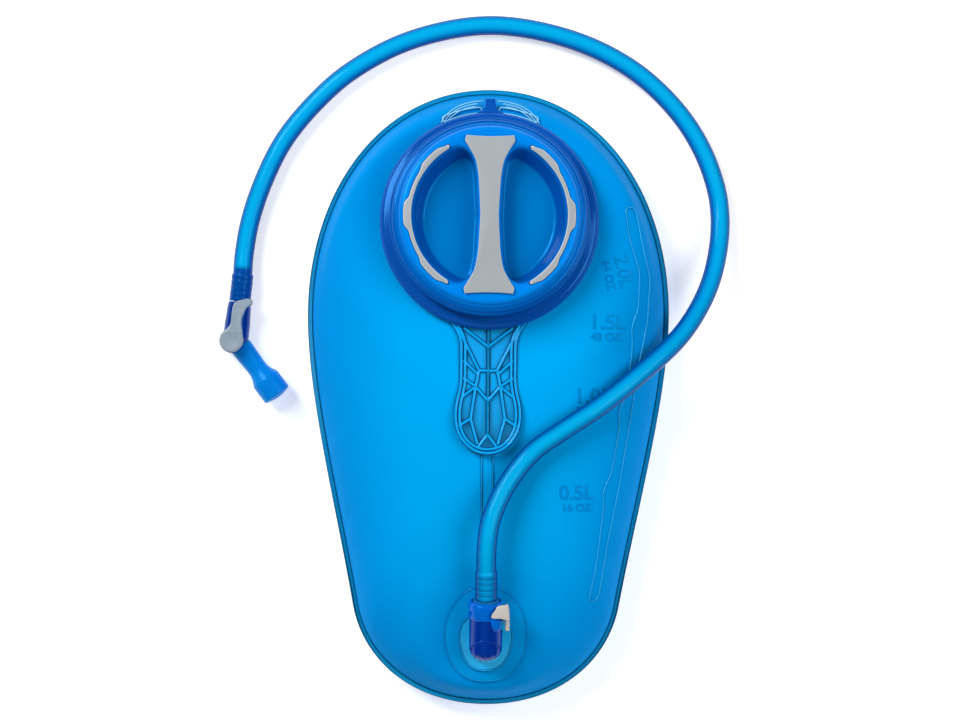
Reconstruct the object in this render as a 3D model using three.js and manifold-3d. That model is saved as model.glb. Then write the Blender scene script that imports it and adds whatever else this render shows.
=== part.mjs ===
// A hydration bladder for a backpack, lying on its back: a welded two-film reservoir with a screw
// cap, a quick-release outlet and a drinking tube that ends in an elbow shut-off with a bite valve.
// Millimetres, +Z up, +Y towards the hanging loops. The origin is under the middle of the reservoir,
// on the surface that it lies on.
import * as THREE from "three";
import { mergeVertices } from "three/addons/utils/BufferGeometryUtils.js";
import Module from "manifold-3d";

const wasm = await Module();
wasm.setup();

// ---- driving dimensions ----

const gap = 0.3; // left between pieces that touch
const weldGap = 0.4; // left between a film and what is welded onto it
const largeRound = 40; // sides of the large round pieces
const smallRound = 20;

const bag = {
  length: 307,
  width: 180.5,
  widestAbove: 41, // the widest line, above the middle of the length
  footWidth: 133, // where the straight sides run into the round foot
  footHeight: 49.5,
  sideLean: 0.18, // how far the side leans out for each millimetre up, at the foot
  rim: 2.7, // width of the edge weld
  film: 0.8,
  seamHeight: 18,
  frontRise: 34,
  backDrop: 22, // more than the seam height, so that the back lies flat
  crown: 3,
  fullness: 0.6,
};

const fillPort = {
  fromTop: 67.3, // from the top of the bag to the middle of the mouth
  height: 43,
  tilt: 6.5, // degrees, towards the hanging loops
  mouthRadius: 41.7,
};

const flange = {
  sleeve: 1.7, // wall of the sleeve that goes through the film
  sleeveDepth: 3,
  lip: 0.5, // how far it shows beyond the collar
  thickness: 1.4,
  ribWidth: 1.1,
  ribHeight: 1.1,
};

// Distances along the handle are from the collar's edge, towards the outlet.
const handle = {
  rootHalf: 22.5,
  rootAt: -7.6,
  waistHalf: 13.7,
  waistFrom: 8.4,
  waistTo: 23.4,
  palmHalf: 16.1,
  palmAt: 41.4,
  length: 60.4,
};

const loop = {
  height: 6.9, // beyond the collar's edge, in the middle
  tipAngle: 62.5, // degrees, counted from +X
  slotWidth: 2.2,
  slotFrom: 66,
  slotTo: 85,
};

const collar = {
  ledge: 5.1, // how far it stands out beyond the cap
  height: 4.3,
  neckWall: 3,
  neckHeight: 9.6, // of the threaded neck, above the collar
  tabWidth: 5,
  tabHeight: 2.5,
};

const cap = {
  threadClear: 1.2, // between the neck and the skirt
  skirtWall: 2.6,
  skirtClear: 0.6, // above the collar
  plugClear: 0.7, // between the plug and the mouth
  rimHeight: 20.5, // all heights are above the film under the port
  dishWall: 4.1, // from the mouth's wall in to the dish
  dishDraft: 5.6, // from the top of the dish in to its floor
  floorTop: 9,
  floor: 2,
  ringSection: 2.1, // O-ring
  ringHeight: 11.1,
};

const bridge = {
  overlap: 1, // how far the grip runs past the dish
  endHalf: 12.05,
  waistHalf: 4.35,
  border: 1.2, // how far the blue bridge stands out round its grip
  gripThickness: 1.3,
};

const arcGrip = {
  inset: 0.3, // from the dish's edge out to the grip
  width: 1.8,
  bump: 1.9,
  halfSpan: 60, // degrees
  bumpSpacing: 44,
  bumpHalf: 10.5,
  depth: 1.3,
  proud: 0.5,
};

const exitPort = {
  fromBottom: 37.9, // from the bottom of the bag to the middle of the outlet
  height: 42,
  tilt: 13, // degrees; the tube leaves upwards
  flangeLength: 49.8,
  flangeWidth: 39.3,
  flangeThickness: 1.2,
  stepHeight: 0.9, // the raised middle of the clear foot
  stepHalf: 12.6,
  spigotWall: 1.4,
  neckRadius: 4.7,
};

const socket = {
  seatClear: 0.6, // above the clear foot
  bodyWall: 3,
  bellWall: 3.5,
  boreClear: 0.3,
  rear: -9.4,
  bellFrom: 10.5,
  mouth: 21,
  boreFrom: 4,
  chamberWall: 3.5,
  chamberFrom: -7.9,
  seatFrom: 1.5,
  seatClearance: 0.5, // round the plug's probe
  feedRadius: 1.9,
};

const latch = {
  from: 14.7,
  thickness: 2,
  holeClear: 0.4,
  wall: 1.4,
  travel: 1.5,
  headClear: 0.7,
  headThickness: 1.5,
};

const plug = {
  noseRadius: 4.8,
  probeRadius: 2.9,
  flangeRadius: 6.5,
  boreRadius: 1.6,
  barbRadius: 3.05,
  stemRadius: 2.6,
  barbPitch: 2.8,
  barbs: 3,
};

const tube = {
  outerRadius: 4.85,
  innerRadius: 3.6,
  sides: 10,
  steps: 44,
};

const mouthpiece = {
  height: 7.1, // of its axis above the surface
  rotorX: -128.6,
  rotorY: 27.2,
  elbowX: -127.3,
  elbowY: 27.6,
  stemX: -125.4,
  stemY: 46.6,
  bodyRadius: 6.7,
  bossWall: 1.4,
  bossHalf: 6.9,
  rotorRadius: 4.6,
  shaftRadius: 2.3,
  boreRadius: 1.9,
  spigotRadius: 3.6,
  biteDirection: -52.5, // degrees from +X
  biteFrom: 8.4,
  biteLength: 26.2,
  biteFlatness: 0.85,
};

const lever = {
  knobRadius: 6,
  thickness: 3.4,
  shaftClear: 0.3,
};

// The tube's middle line, from the plug over the bag and round it to the shut-off.
const tubeRoute = [
  [0, -84.9, 60.6],
  [0, -73, 63.3],
  [1.4, -60.5, 63.7],
  [6.2, -47.6, 61.9],
  [13.6, -35.4, 59.3],
  [23, -24.8, 57.6],
  [35, -16.3, 56.2],
  [54.4, -3.4, 52.9],
  [74.2, 12.3, 46],
  [94, 30.4, 34.6],
  [104.4, 45, 26],
  [111.4, 60, 18.4],
  [115.6, 78, 11.3],
  [116.4, 92, 7.6],
  [114.7, 105.4, 5.6],
  [107.3, 125.6, 5],
  [94, 145.7, 5],
  [72, 165.7, 5],
  [41.3, 180.6, 5],
  [0, 187.6, 5],
  [-39.8, 180, 5],
  [-69.5, 164.5, 5],
  [-87.3, 149.1, 5],
  [-103.8, 128.8, 5],
  [-113.9, 108.5, 5],
  [-120.6, 88.2, 5.1],
  [-123.6, 70, 6],
];

// ---- colours and finishes ----

const finish = {
  film: { color: 0x0fa0e6, roughness: 0.32 },
  clearMoulding: { color: 0x2aa9ea, roughness: 0.2 },
  collarBlue: { color: 0x0b46a8, roughness: 0.35 },
  capBlue: { color: 0x0a72d2, roughness: 0.3 },
  greyRubber: { color: 0xa9b0b4, roughness: 0.65 },
  blackRubber: { color: 0x1c1e20, roughness: 0.6 },
  navy: { color: 0x0a2f8c, roughness: 0.35 },
  button: { color: 0xd8d2cb, roughness: 0.5 },
  whitePlastic: { color: 0xd9dde0, roughness: 0.45 },
  steel: { color: 0xb9bcc0, roughness: 0.3, metalness: 1 },
  tube: { color: 0x0b86cc, roughness: 0.25 },
  bite: { color: 0x1b7fe0, roughness: 0.45 },
};

// ---- small tools ----

const alongY = new THREE.Vector3(0, 1, 0);
const point = (x, y) => new THREE.Vector2(x, y);
const degrees = THREE.MathUtils.degToRad;

// A closed three.js geometry as a manifold-3d solid.
function solid(geometry) {
  const bare = geometry.clone();
  bare.deleteAttribute("normal");
  bare.deleteAttribute("uv");
  const merged = mergeVertices(bare, 1e-4);
  return new wasm.Manifold(
    new wasm.Mesh({
      numProp: 3,
      vertProperties: merged.attributes.position.array,
      triVerts: new Uint32Array(merged.index.array),
    }),
  );
}

// A solid back as a geometry.
function geometryOf(body) {
  const mesh = body.getMesh();
  const stride = mesh.numProp;
  const positions = new Float32Array(mesh.numVert * 3);
  for (let i = 0; i < mesh.numVert; i++) {
    positions.set(mesh.vertProperties.subarray(i * stride, i * stride + 3), i * 3);
  }
  const geometry = new THREE.BufferGeometry();
  geometry.setAttribute("position", new THREE.BufferAttribute(positions, 3));
  geometry.setIndex(new THREE.BufferAttribute(mesh.triVerts, 1));
  geometry.computeVertexNormals();
  return geometry;
}

function join(...bodies) {
  return bodies.reduce((whole, body) => whole.add(body));
}

function cut(body, ...tools) {
  return tools.reduce((rest, tool) => rest.subtract(tool), body);
}

// A profile of [radius, height] pairs turned about Z.
function turned(profile, segments) {
  const points = profile.map(([radius, height]) => point(radius, height));
  return new THREE.LatheGeometry(points, segments).rotateX(Math.PI / 2);
}

// The same, turned about Y: pairs are [radius, place along Y].
function turnedAlongY(profile, segments) {
  const points = profile.map(([radius, along]) => point(radius, along));
  return new THREE.LatheGeometry(points, segments);
}

// A closed section, turned about Z, that doesn't meet the axis.
function ring(inner, outer, bottom, top, segments) {
  const section = [
    [inner, bottom],
    [outer, bottom],
    [outer, top],
    [inner, top],
    [inner, bottom],
  ];
  return turned(section, segments);
}

function disc(radius, bottom, top, segments) {
  return turned([[0, bottom], [radius, bottom], [radius, top], [0, top]], segments);
}

function plate(shape, bottom, top, curveSegments = 8) {
  const settings = { depth: top - bottom, bevelEnabled: false, curveSegments };
  return new THREE.ExtrudeGeometry(shape, settings).translate(0, 0, bottom);
}

function swept(shape, curve, steps, curveSegments = 3) {
  const settings = { steps, extrudePath: curve, bevelEnabled: false, curveSegments };
  return new THREE.ExtrudeGeometry(shape, settings);
}

function block(fromX, toX, fromY, toY, fromZ, toZ) {
  return new THREE.BoxGeometry(toX - fromX, toY - fromY, toZ - fromZ).translate(
    (fromX + toX) / 2,
    (fromY + toY) / 2,
    (fromZ + toZ) / 2,
  );
}

function mesh(name, shape, look) {
  const geometry = shape.isBufferGeometry ? shape : geometryOf(shape);
  const made = new THREE.Mesh(geometry, new THREE.MeshStandardMaterial(look));
  made.name = name;
  return made;
}

// ---- the reservoir's form ----

const halfLength = bag.length / 2;
const neckRadius = fillPort.mouthRadius + collar.neckWall;
const skirtInner = neckRadius + cap.threadClear;
const capRadius = skirtInner + cap.skirtWall;
const collarRadius = capRadius + collar.ledge;
const flangeRadius = collarRadius + flange.lip;

// The egg-shaped outline: a round foot, long leaning sides and a wide round top.
function bagOutline() {
  const half = bag.width / 2;
  const footHalf = bag.footWidth / 2;
  const foot = bag.footHeight - halfLength;
  const sideRise = bag.widestAbove - foot;
  const topRise = halfLength - bag.widestAbove;
  const pull = 0.556;
  const footPull = pull * bag.footHeight;
  const sidePull = 0.345 * sideRise;
  const outline = new THREE.Shape();
  outline.moveTo(0, -halfLength);
  outline.bezierCurveTo(
    ...[pull * footHalf, -halfLength],
    ...[footHalf - bag.sideLean * footPull, foot - footPull],
    ...[footHalf, foot],
  );
  outline.bezierCurveTo(
    ...[footHalf + bag.sideLean * sidePull, foot + sidePull],
    ...[half, bag.widestAbove - 0.276 * sideRise],
    ...[half, bag.widestAbove],
  );
  outline.bezierCurveTo(
    ...[half, bag.widestAbove + 0.55 * topRise],
    ...[0.6 * half, halfLength],
    ...[0, halfLength],
  );
  return outline.getPoints(24);
}

const outlinePolar = bagOutline().map((p) => ({
  angle: Math.atan2(p.y, p.x),
  radius: p.length(),
}));

// How far the outline is from the middle of the bag, in a direction.
function outlineReach(angle) {
  const onRight = Math.abs(angle) > Math.PI / 2 ? Math.sign(angle) * Math.PI - angle : angle;
  const last = outlinePolar.length - 1;
  const next = outlinePolar.findIndex((p) => p.angle >= onRight);
  if (next <= 0) {
    return outlinePolar[next === 0 ? 0 : last].radius;
  }
  const a = outlinePolar[next - 1];
  const b = outlinePolar[next];
  return a.radius + ((b.radius - a.radius) * (onRight - a.angle)) / (b.angle - a.angle);
}

// The same for the inner line of the edge weld.
function weldReach(angle) {
  const step = 0.02;
  const reach = outlineReach(angle);
  const slope = (outlineReach(angle + step) - outlineReach(angle - step)) / (2 * step);
  return reach - bag.rim * Math.hypot(1, slope / reach);
}

function smooth(from, to, value) {
  return THREE.MathUtils.smoothstep(value, from, to);
}

const fillY = halfLength - fillPort.fromTop;
const exitY = exitPort.fromBottom - halfLength;
const spigotRadius = exitPort.neckRadius + gap + exitPort.spigotWall;

// The film lies flat under each port. A seat is flat up to 1 and free of it at its own blend.
const seats = [
  {
    y: fillY,
    height: fillPort.height,
    slope: -Math.tan(degrees(fillPort.tilt)),
    halfX: flangeRadius + 8,
    halfY: flangeRadius + 8,
    blend: 1.5,
  },
  {
    y: exitY,
    height: exitPort.height,
    slope: Math.tan(degrees(exitPort.tilt)),
    halfX: exitPort.flangeWidth / 2 + 6,
    halfY: exitPort.flangeLength / 2 + 3,
    blend: 1.7,
  },
];

// The height of the front film's outer face over a place on the bag.
function frontLevel(x, y) {
  const share = Math.min(1, Math.hypot(x, y) / weldReach(Math.atan2(y, x)));
  const edge = bag.seamHeight + gap / 2 + bag.film;
  let level = edge + bag.frontRise * (1 - share ** bag.crown) ** bag.fullness;
  for (const seat of seats) {
    const away = Math.hypot(x / seat.halfX, (y - seat.y) / seat.halfY);
    const free = 1 - (1 - smooth(1, seat.blend, away)) * (1 - smooth(0.94, 1, share));
    const seatLevel = seat.height + seat.slope * (y - seat.y);
    level = seatLevel + (level - seatLevel) * free;
  }
  return level;
}

// The height of the back film's outer face.
function backLevel(x, y) {
  const share = Math.min(1, Math.hypot(x, y) / weldReach(Math.atan2(y, x)));
  const edge = bag.seamHeight - gap / 2 - bag.film;
  return Math.max(0, edge - bag.backDrop * (1 - share ** bag.crown) ** bag.fullness);
}

// The rings of a film, from the middle (0) to the edge weld (1) and the edge (2).
const filmRings = [0, 0.35, 0.6, 0.76, 0.88, 0.95, 0.985, 1, 2];

// One film: a turned section moulded to the bag's outline and to a level. `outward` is 1 for the
// front and -1 for the back.
function film(level, outward) {
  const outer = filmRings.map((share) => [share, outward > 0 ? 1 : 0]);
  const inner = filmRings.map((share) => [share, outward > 0 ? 0 : 1]);
  const section = outward > 0 ? [...inner, ...outer.reverse()] : [...outer, ...inner.reverse()];
  const geometry = turned(section, 60);
  const places = geometry.attributes.position;
  for (let i = 0; i < places.count; i++) {
    const share = Math.hypot(places.getX(i), places.getY(i));
    const angle = Math.atan2(places.getY(i), places.getX(i));
    const isOuter = places.getZ(i) > 0.5 === outward > 0;
    const moulded = filmPoint(level, outward, share, angle, isOuter);
    places.setXYZ(i, moulded.x, moulded.y, moulded.z);
  }
  return solid(geometry);
}

function filmPoint(level, outward, share, angle, isOuter) {
  const weld = weldReach(angle);
  const beyond = Math.max(0, share - 1) * (outlineReach(angle) - weld);
  const reach = Math.min(1, share) * weld + beyond;
  const x = reach * Math.cos(angle);
  const y = reach * Math.sin(angle);
  const place = new THREE.Vector3(x, y, level(x, y));
  if (isOuter) {
    return place;
  }
  if (share > 1) {
    return place.setZ(place.z - outward * bag.film);
  }
  const near = Math.min(1, 0.975 / Math.max(share, 0.001));
  const step = 0.5;
  const rise = (dx, dy) => level(x * near + dx, y * near + dy) - level(x * near - dx, y * near - dy);
  const normal = new THREE.Vector3(-rise(step, 0), -rise(0, step), 2 * step);
  normal.normalize().multiplyScalar(-outward * bag.film);
  return place.add(normal);
}

// ---- groups that hold the two ports ----

const fillGroup = new THREE.Group();
fillGroup.position.set(0, fillY, fillPort.height);
fillGroup.rotation.x = -degrees(fillPort.tilt);

const exitGroup = new THREE.Group();
exitGroup.position.set(0, exitY, exitPort.height);
exitGroup.rotation.x = degrees(exitPort.tilt);

// A tool or place given in a port's own frame, in the bag's frame.
function fromGroup(group, geometry) {
  group.updateMatrix();
  return geometry.applyMatrix4(group.matrix);
}

// ---- films ----

const sleeveOuter = fillPort.mouthRadius + flange.sleeve;

function frontFilm() {
  const fillHole = disc(sleeveOuter + weldGap, -20, 20, largeRound);
  const exitHole = disc(spigotRadius + weldGap, -20, 20, smallRound);
  return cut(
    film(frontLevel, 1),
    solid(fromGroup(fillGroup, fillHole)),
    solid(fromGroup(exitGroup, exitHole)),
  );
}

function backFilm() {
  return film(backLevel, -1);
}

// The front film's height on the bag's middle line: straight between its rings.
function levelOnRings(y) {
  const side = y < 0 ? -1 : 1;
  const reach = side * weldReach((side * Math.PI) / 2);
  const share = y / reach;
  const next = filmRings.findIndex((ring) => ring > share);
  const [a, b] = [filmRings[next - 1], filmRings[next]];
  const along = (share - a) / (b - a);
  return THREE.MathUtils.lerp(frontLevel(0, a * reach), frontLevel(0, b * reach), along);
}

// A flat strip welded down the middle of the front, from the handle to the outlet.
function spineStrip() {
  const from = fillY - collarRadius - handle.length - 1.5;
  const to = exitY + exitPort.flangeLength / 2 + 1.5;
  const stripWidth = 5.2;
  const stripThickness = 0.7;
  const stations = 14;
  const path = [];
  for (let i = 0; i <= stations; i++) {
    const y = from + ((to - from) * i) / stations;
    path.push(new THREE.Vector3(0, y, levelOnRings(y) + weldGap + stripThickness / 2));
  }
  const section = new THREE.Shape();
  section.moveTo(-stripWidth / 2, -stripThickness / 2);
  section.lineTo(stripWidth / 2, -stripThickness / 2);
  section.lineTo(stripWidth / 2, stripThickness / 2);
  section.lineTo(-stripWidth / 2, stripThickness / 2);
  section.closePath();
  const curve = new THREE.CatmullRomCurve3(path);
  return swept(section, curve, stations);
}

// ---- filling port ----
// Everything below is in the port's frame, Z along the mouth's axis.

const flangeBottom = weldGap;
const flangeTop = flangeBottom + flange.thickness;
const collarBottom = flangeTop + gap;
const collarTop = collarBottom + collar.height;
const neckTop = collarTop + collar.neckHeight;

function handleOutline() {
  const { rootHalf, waistHalf, palmHalf } = handle;
  const root = -collarRadius - handle.rootAt;
  const waistTop = -collarRadius - handle.waistFrom;
  const waistBottom = -collarRadius - handle.waistTo;
  const palm = -collarRadius - handle.palmAt;
  const end = -collarRadius - handle.length;
  const outline = new THREE.Shape();
  outline.moveTo(-rootHalf, root);
  outline.bezierCurveTo(-rootHalf + 5, root - 5, -waistHalf, waistTop + 6, -waistHalf, waistTop);
  outline.lineTo(-waistHalf, waistBottom);
  outline.bezierCurveTo(-waistHalf, waistBottom - 7, -palmHalf, palm + 7, -palmHalf, palm);
  outline.bezierCurveTo(-palmHalf, palm - 12, -palmHalf / 2, end, 0, end);
  outline.bezierCurveTo(palmHalf / 2, end, palmHalf, palm - 12, palmHalf, palm);
  outline.bezierCurveTo(palmHalf, palm + 7, waistHalf, waistBottom - 7, waistHalf, waistBottom);
  outline.lineTo(waistHalf, waistTop);
  outline.bezierCurveTo(waistHalf, waistTop + 6, rootHalf - 5, root - 5, rootHalf, root);
  outline.closePath();
  return outline;
}

// The truss of ribs on the handle: each goes from one [x, distance from the collar's edge] to
// another on one side of the middle, and is mirrored.
const handleRibs = [
  [[12, -2.1], [0, 6.8]],
  [[18.5, -3.6], [2.7, 18.6]],
  [[0, -0.6], [0, 6.8]],
  [[12.6, 13], [5.1, 19.2]],
  [[5.1, 19.2], [2.7, 18.6]],
  [[2.7, 18.6], [0, 20.9]],
  [[2.7, 18.6], [6.1, 25.9]],
  [[12.6, 21.4], [6.1, 25.9]],
  [[6.1, 25.9], [12.9, 33.2]],
  [[6.1, 25.9], [0, 33.4]],
  [[6.1, 25.9], [8.3, 42.1]],
  [[0, 20.9], [0, 50.7]],
  [[8.3, 42.1], [14.2, 47.4]],
  [[8.3, 42.1], [4.9, 56.4]],
  [[0, 50.7], [4.6, 57.9]],
];

function rib([x1, along1], [x2, along2], side) {
  const [y1, y2] = [-collarRadius - along1, -collarRadius - along2];
  const half = Math.hypot(x2 - x1, y2 - y1) / 2 + flange.ribWidth / 4;
  const halfWidth = flange.ribWidth / 2;
  const top = flangeTop + flange.ribHeight;
  const beam = block(-half, half, -halfWidth, halfWidth, flangeBottom + 0.5, top);
  beam.rotateZ(Math.atan2(y2 - y1, side * (x2 - x1)));
  return solid(beam.translate((side * (x1 + x2)) / 2, (y1 + y2) / 2, 0));
}

const loopTop = collarRadius + loop.height;

function loopOutline(side) {
  const tipX = flangeRadius * Math.cos(degrees(loop.tipAngle));
  const tipY = flangeRadius * Math.sin(degrees(loop.tipAngle));
  const outline = new THREE.Shape();
  outline.moveTo(0, loopTop);
  outline.bezierCurveTo(side * 12, loopTop - 0.6, side * (tipX - 4), tipY + 7, side * tipX, tipY);
  outline.lineTo(side * (tipX - 5), tipY - 5);
  outline.lineTo(0, flangeRadius - 4);
  outline.closePath();
  return outline;
}

// A narrow slot along an arc, for a hook or a cord.
function loopSlot(side) {
  const slotInner = flangeRadius + 0.4;
  const from = degrees(side > 0 ? loop.slotFrom : 180 - loop.slotTo);
  const to = degrees(side > 0 ? loop.slotTo : 180 - loop.slotFrom);
  const outline = new THREE.Shape();
  outline.absarc(0, 0, slotInner + loop.slotWidth, from, to, false);
  outline.absarc(0, 0, slotInner, to, from, true);
  outline.closePath();
  return solid(plate(outline, flangeBottom - 1, flangeTop + 1, 10));
}

function portFlange() {
  const section = [
    [fillPort.mouthRadius, -flange.sleeveDepth],
    [sleeveOuter, -flange.sleeveDepth],
    [sleeveOuter, flangeBottom],
    [flangeRadius, flangeBottom],
    [flangeRadius, flangeTop],
    [fillPort.mouthRadius, flangeTop],
    [fillPort.mouthRadius, -flange.sleeveDepth],
  ];
  const grip = join(
    solid(plate(handleOutline(), flangeBottom, flangeTop, 7)),
    ...handleRibs.map(([from, to]) => rib(from, to, 1)),
    ...handleRibs.map(([from, to]) => rib(from, to, -1)),
  );
  const wings = [-1, 1].map((side) =>
    solid(plate(loopOutline(side), flangeBottom, flangeTop, 10)),
  );
  const underCollar = solid(disc(collarRadius + gap, flangeTop, flangeTop + 5, largeRound));
  const mouth = solid(disc(fillPort.mouthRadius, -10, 10, largeRound));
  return cut(
    join(solid(turned(section, largeRound)), grip, ...wings),
    underCollar,
    mouth,
    loopSlot(-1),
    loopSlot(1),
  );
}

// The rigid threaded ring that is moulded onto the flange.
function fillCollar() {
  const shoulder = 1.6;
  const section = [
    [fillPort.mouthRadius, collarBottom],
    [collarRadius, collarBottom],
    [collarRadius, collarTop - shoulder],
    [collarRadius - 0.5, collarTop - shoulder / 3],
    [collarRadius - shoulder, collarTop],
    [neckRadius, collarTop],
    [neckRadius, neckTop - 0.6],
    [neckRadius - 0.6, neckTop],
    [fillPort.mouthRadius, neckTop],
    [fillPort.mouthRadius, collarBottom],
  ];
  const half = collar.tabWidth / 2;
  const tabTop = collarBottom + collar.tabHeight;
  const tab = block(-half, half, collarRadius - 2, loopTop, collarBottom, tabTop);
  return join(solid(turned(section, largeRound)), solid(tab));
}

// ---- cap ----

const plugRadius = fillPort.mouthRadius - cap.plugClear;
const dishRadius = fillPort.mouthRadius - cap.dishWall;
const floorRadius = dishRadius - cap.dishDraft;
const arcInner = dishRadius + arcGrip.inset;
const arcOuter = arcInner + arcGrip.width;
const grooveHalf = cap.ringSection / 2 + 0.2;
const grooveRadius = plugRadius - cap.ringSection;

function bridgeOutline(border) {
  const end = dishRadius + bridge.overlap + border;
  const endHalf = bridge.endHalf + border;
  const waist = bridge.waistHalf + border;
  const dip = 1.6; // how far the end edges curve in
  const outline = new THREE.Shape();
  outline.moveTo(-endHalf, end);
  outline.bezierCurveTo(-waist - 2.4, end * 0.62, -waist, end * 0.36, -waist, 0);
  outline.bezierCurveTo(-waist, -end * 0.36, -waist - 2.4, -end * 0.62, -endHalf, -end);
  outline.quadraticCurveTo(0, -end + dip, endHalf, -end);
  outline.bezierCurveTo(waist + 2.4, -end * 0.62, waist, -end * 0.36, waist, 0);
  outline.bezierCurveTo(waist, end * 0.36, waist + 2.4, end * 0.62, endHalf, end);
  outline.quadraticCurveTo(0, end - dip, -endHalf, end);
  return outline;
}

// A grey arc with three bumps on its outer edge. `side` is 1 on the right and -1 on the left.
function arcGripOutline(side, clearance) {
  const middle = side > 0 ? 0 : 180;
  const margin = THREE.MathUtils.radToDeg(clearance / arcOuter);
  const reach = arcGrip.halfSpan + margin;
  const steps = 40;
  const outline = new THREE.Shape();
  for (let i = 0; i <= steps; i++) {
    const turn = -reach + (2 * reach * i) / steps;
    const fromBump = Math.min(...[-1, 0, 1].map((k) => Math.abs(turn - k * arcGrip.bumpSpacing)));
    const bump = 1 - smooth(arcGrip.bumpHalf - 2, arcGrip.bumpHalf + 2, fromBump);
    const radius = arcOuter + arcGrip.bump * bump + clearance;
    const angle = degrees(middle + turn);
    const place = [radius * Math.cos(angle), radius * Math.sin(angle)];
    if (i === 0) {
      outline.moveTo(...place);
    } else {
      outline.lineTo(...place);
    }
  }
  const [from, to] = [degrees(middle + reach), degrees(middle - reach)];
  outline.absarc(0, 0, arcInner - clearance, from, to, true);
  outline.closePath();
  return outline;
}

const pocketFloor = cap.rimHeight - arcGrip.depth;

function capBody() {
  const underside = cap.floorTop - cap.floor;
  const skirtBottom = collarTop + cap.skirtClear;
  const channelTop = neckTop + 0.7;
  const section = [
    [0, underside],
    [plugRadius - 0.6, underside],
    [plugRadius, underside + 0.6],
    [plugRadius, cap.ringHeight - grooveHalf],
    [grooveRadius, cap.ringHeight - grooveHalf],
    [grooveRadius, cap.ringHeight + grooveHalf],
    [plugRadius, cap.ringHeight + grooveHalf],
    [plugRadius, channelTop],
    [skirtInner, channelTop],
    [skirtInner, skirtBottom],
    [capRadius - 0.4, skirtBottom],
    [capRadius, skirtBottom + 0.4],
    [capRadius, cap.rimHeight - 4.7],
    [capRadius - 0.7, cap.rimHeight - 3.7],
    [capRadius - 2.4, cap.rimHeight - 3],
    [capRadius - 2.8, cap.rimHeight - 2.1],
    [capRadius - 4.8, cap.rimHeight - 1.6],
    [capRadius - 5.2, cap.rimHeight - 0.8],
    [capRadius - 6.4, cap.rimHeight],
    [dishRadius + 1.9, cap.rimHeight],
    [dishRadius + 0.4, cap.rimHeight - 0.7],
    [dishRadius - 0.5, cap.rimHeight - 2.2],
    [floorRadius + 1.2, cap.floorTop + 0.9],
    [floorRadius, cap.floorTop],
    [0, cap.floorTop],
  ];
  const web = solid(plate(bridgeOutline(bridge.border), cap.floorTop - 1, cap.rimHeight, 8));
  const inDish = solid(disc(dishRadius + 0.4, 0, 30, largeRound));
  const pockets = [-1, 1].map((side) =>
    solid(plate(arcGripOutline(side, gap), pocketFloor, cap.rimHeight + 5, 24)),
  );
  return cut(join(solid(turned(section, largeRound)), web.intersect(inDish)), ...pockets);
}

function capBridgeGrip() {
  const bottom = cap.rimHeight + gap;
  return plate(bridgeOutline(0), bottom, bottom + bridge.gripThickness, 8);
}

function capArcGrip(side) {
  return plate(arcGripOutline(side, 0), pocketFloor + gap, cap.rimHeight + arcGrip.proud, 24);
}

function torus(middleRadius, section, height, segments) {
  const sides = 8;
  const profile = [];
  for (let i = 0; i <= sides; i++) {
    const angle = (2 * Math.PI * i) / sides;
    profile.push([
      middleRadius + (section / 2) * Math.cos(angle),
      height + (section / 2) * Math.sin(angle),
    ]);
  }
  profile[sides] = profile[0];
  return turned(profile, segments);
}

function capRing() {
  const middle = plugRadius + cap.plugClear - gap - cap.ringSection / 2;
  return torus(middle, cap.ringSection, cap.ringHeight, largeRound);
}

// ---- outlet ----
// Everything below is in the outlet's frame, Y along the tube.

const exitFlangeTop = weldGap + exitPort.flangeThickness;
const stepTop = exitFlangeTop + exitPort.stepHeight;
const boreRadius = plug.noseRadius + socket.boreClear;
const bodyRadius = boreRadius + socket.bodyWall;
const bellRadius = boreRadius + socket.bellWall;
const chamberRadius = bodyRadius - socket.chamberWall;
const axisHeight = stepTop + socket.seatClear + bodyRadius;
const headX = bellRadius + latch.headClear;
const latchHole = plug.noseRadius + latch.holeClear;
const latchHalf = latchHole + latch.wall;

function oval(halfX, fromY, toY) {
  const middle = (fromY + toY) / 2;
  const shape = new THREE.Shape();
  shape.absellipse(0, middle, halfX, (toY - fromY) / 2, 0, 2 * Math.PI, false, 0);
  return shape;
}

// The clear moulded foot, welded onto the film, with a spigot that goes through it.
function exitFlange() {
  const half = exitPort.flangeLength / 2;
  const base = solid(plate(oval(exitPort.flangeWidth / 2, -half, half), weldGap, exitFlangeTop, 8));
  const stepShape = oval(exitPort.stepHalf, -18.4, socket.bellFrom - 1);
  const step = solid(plate(stepShape, weldGap, stepTop, 7));
  const spigot = solid(disc(spigotRadius, -3, stepTop, smallRound));
  const bore = solid(disc(exitPort.neckRadius + gap, -10, 20, smallRound));
  return cut(join(base, step, spigot), bore);
}

// A piece turned about the socket's axis: pairs are [radius, place along the axis].
function onSocketAxis(profile, segments) {
  return turnedAlongY(profile, segments).translate(0, 0, axisHeight);
}

function rod(radius, from, to, segments = smallRound) {
  return solid(onSocketAxis([[0, from], [radius, from], [radius, to], [0, to]], segments));
}

const slotClear = 0.3;
const springX = 1; // the inner end of the latch spring's seat
const springY = 8.6;
const springRadius = 1.1;
const springDrop = boreRadius + springRadius - 0.2; // how far its axis is below the socket's

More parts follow.
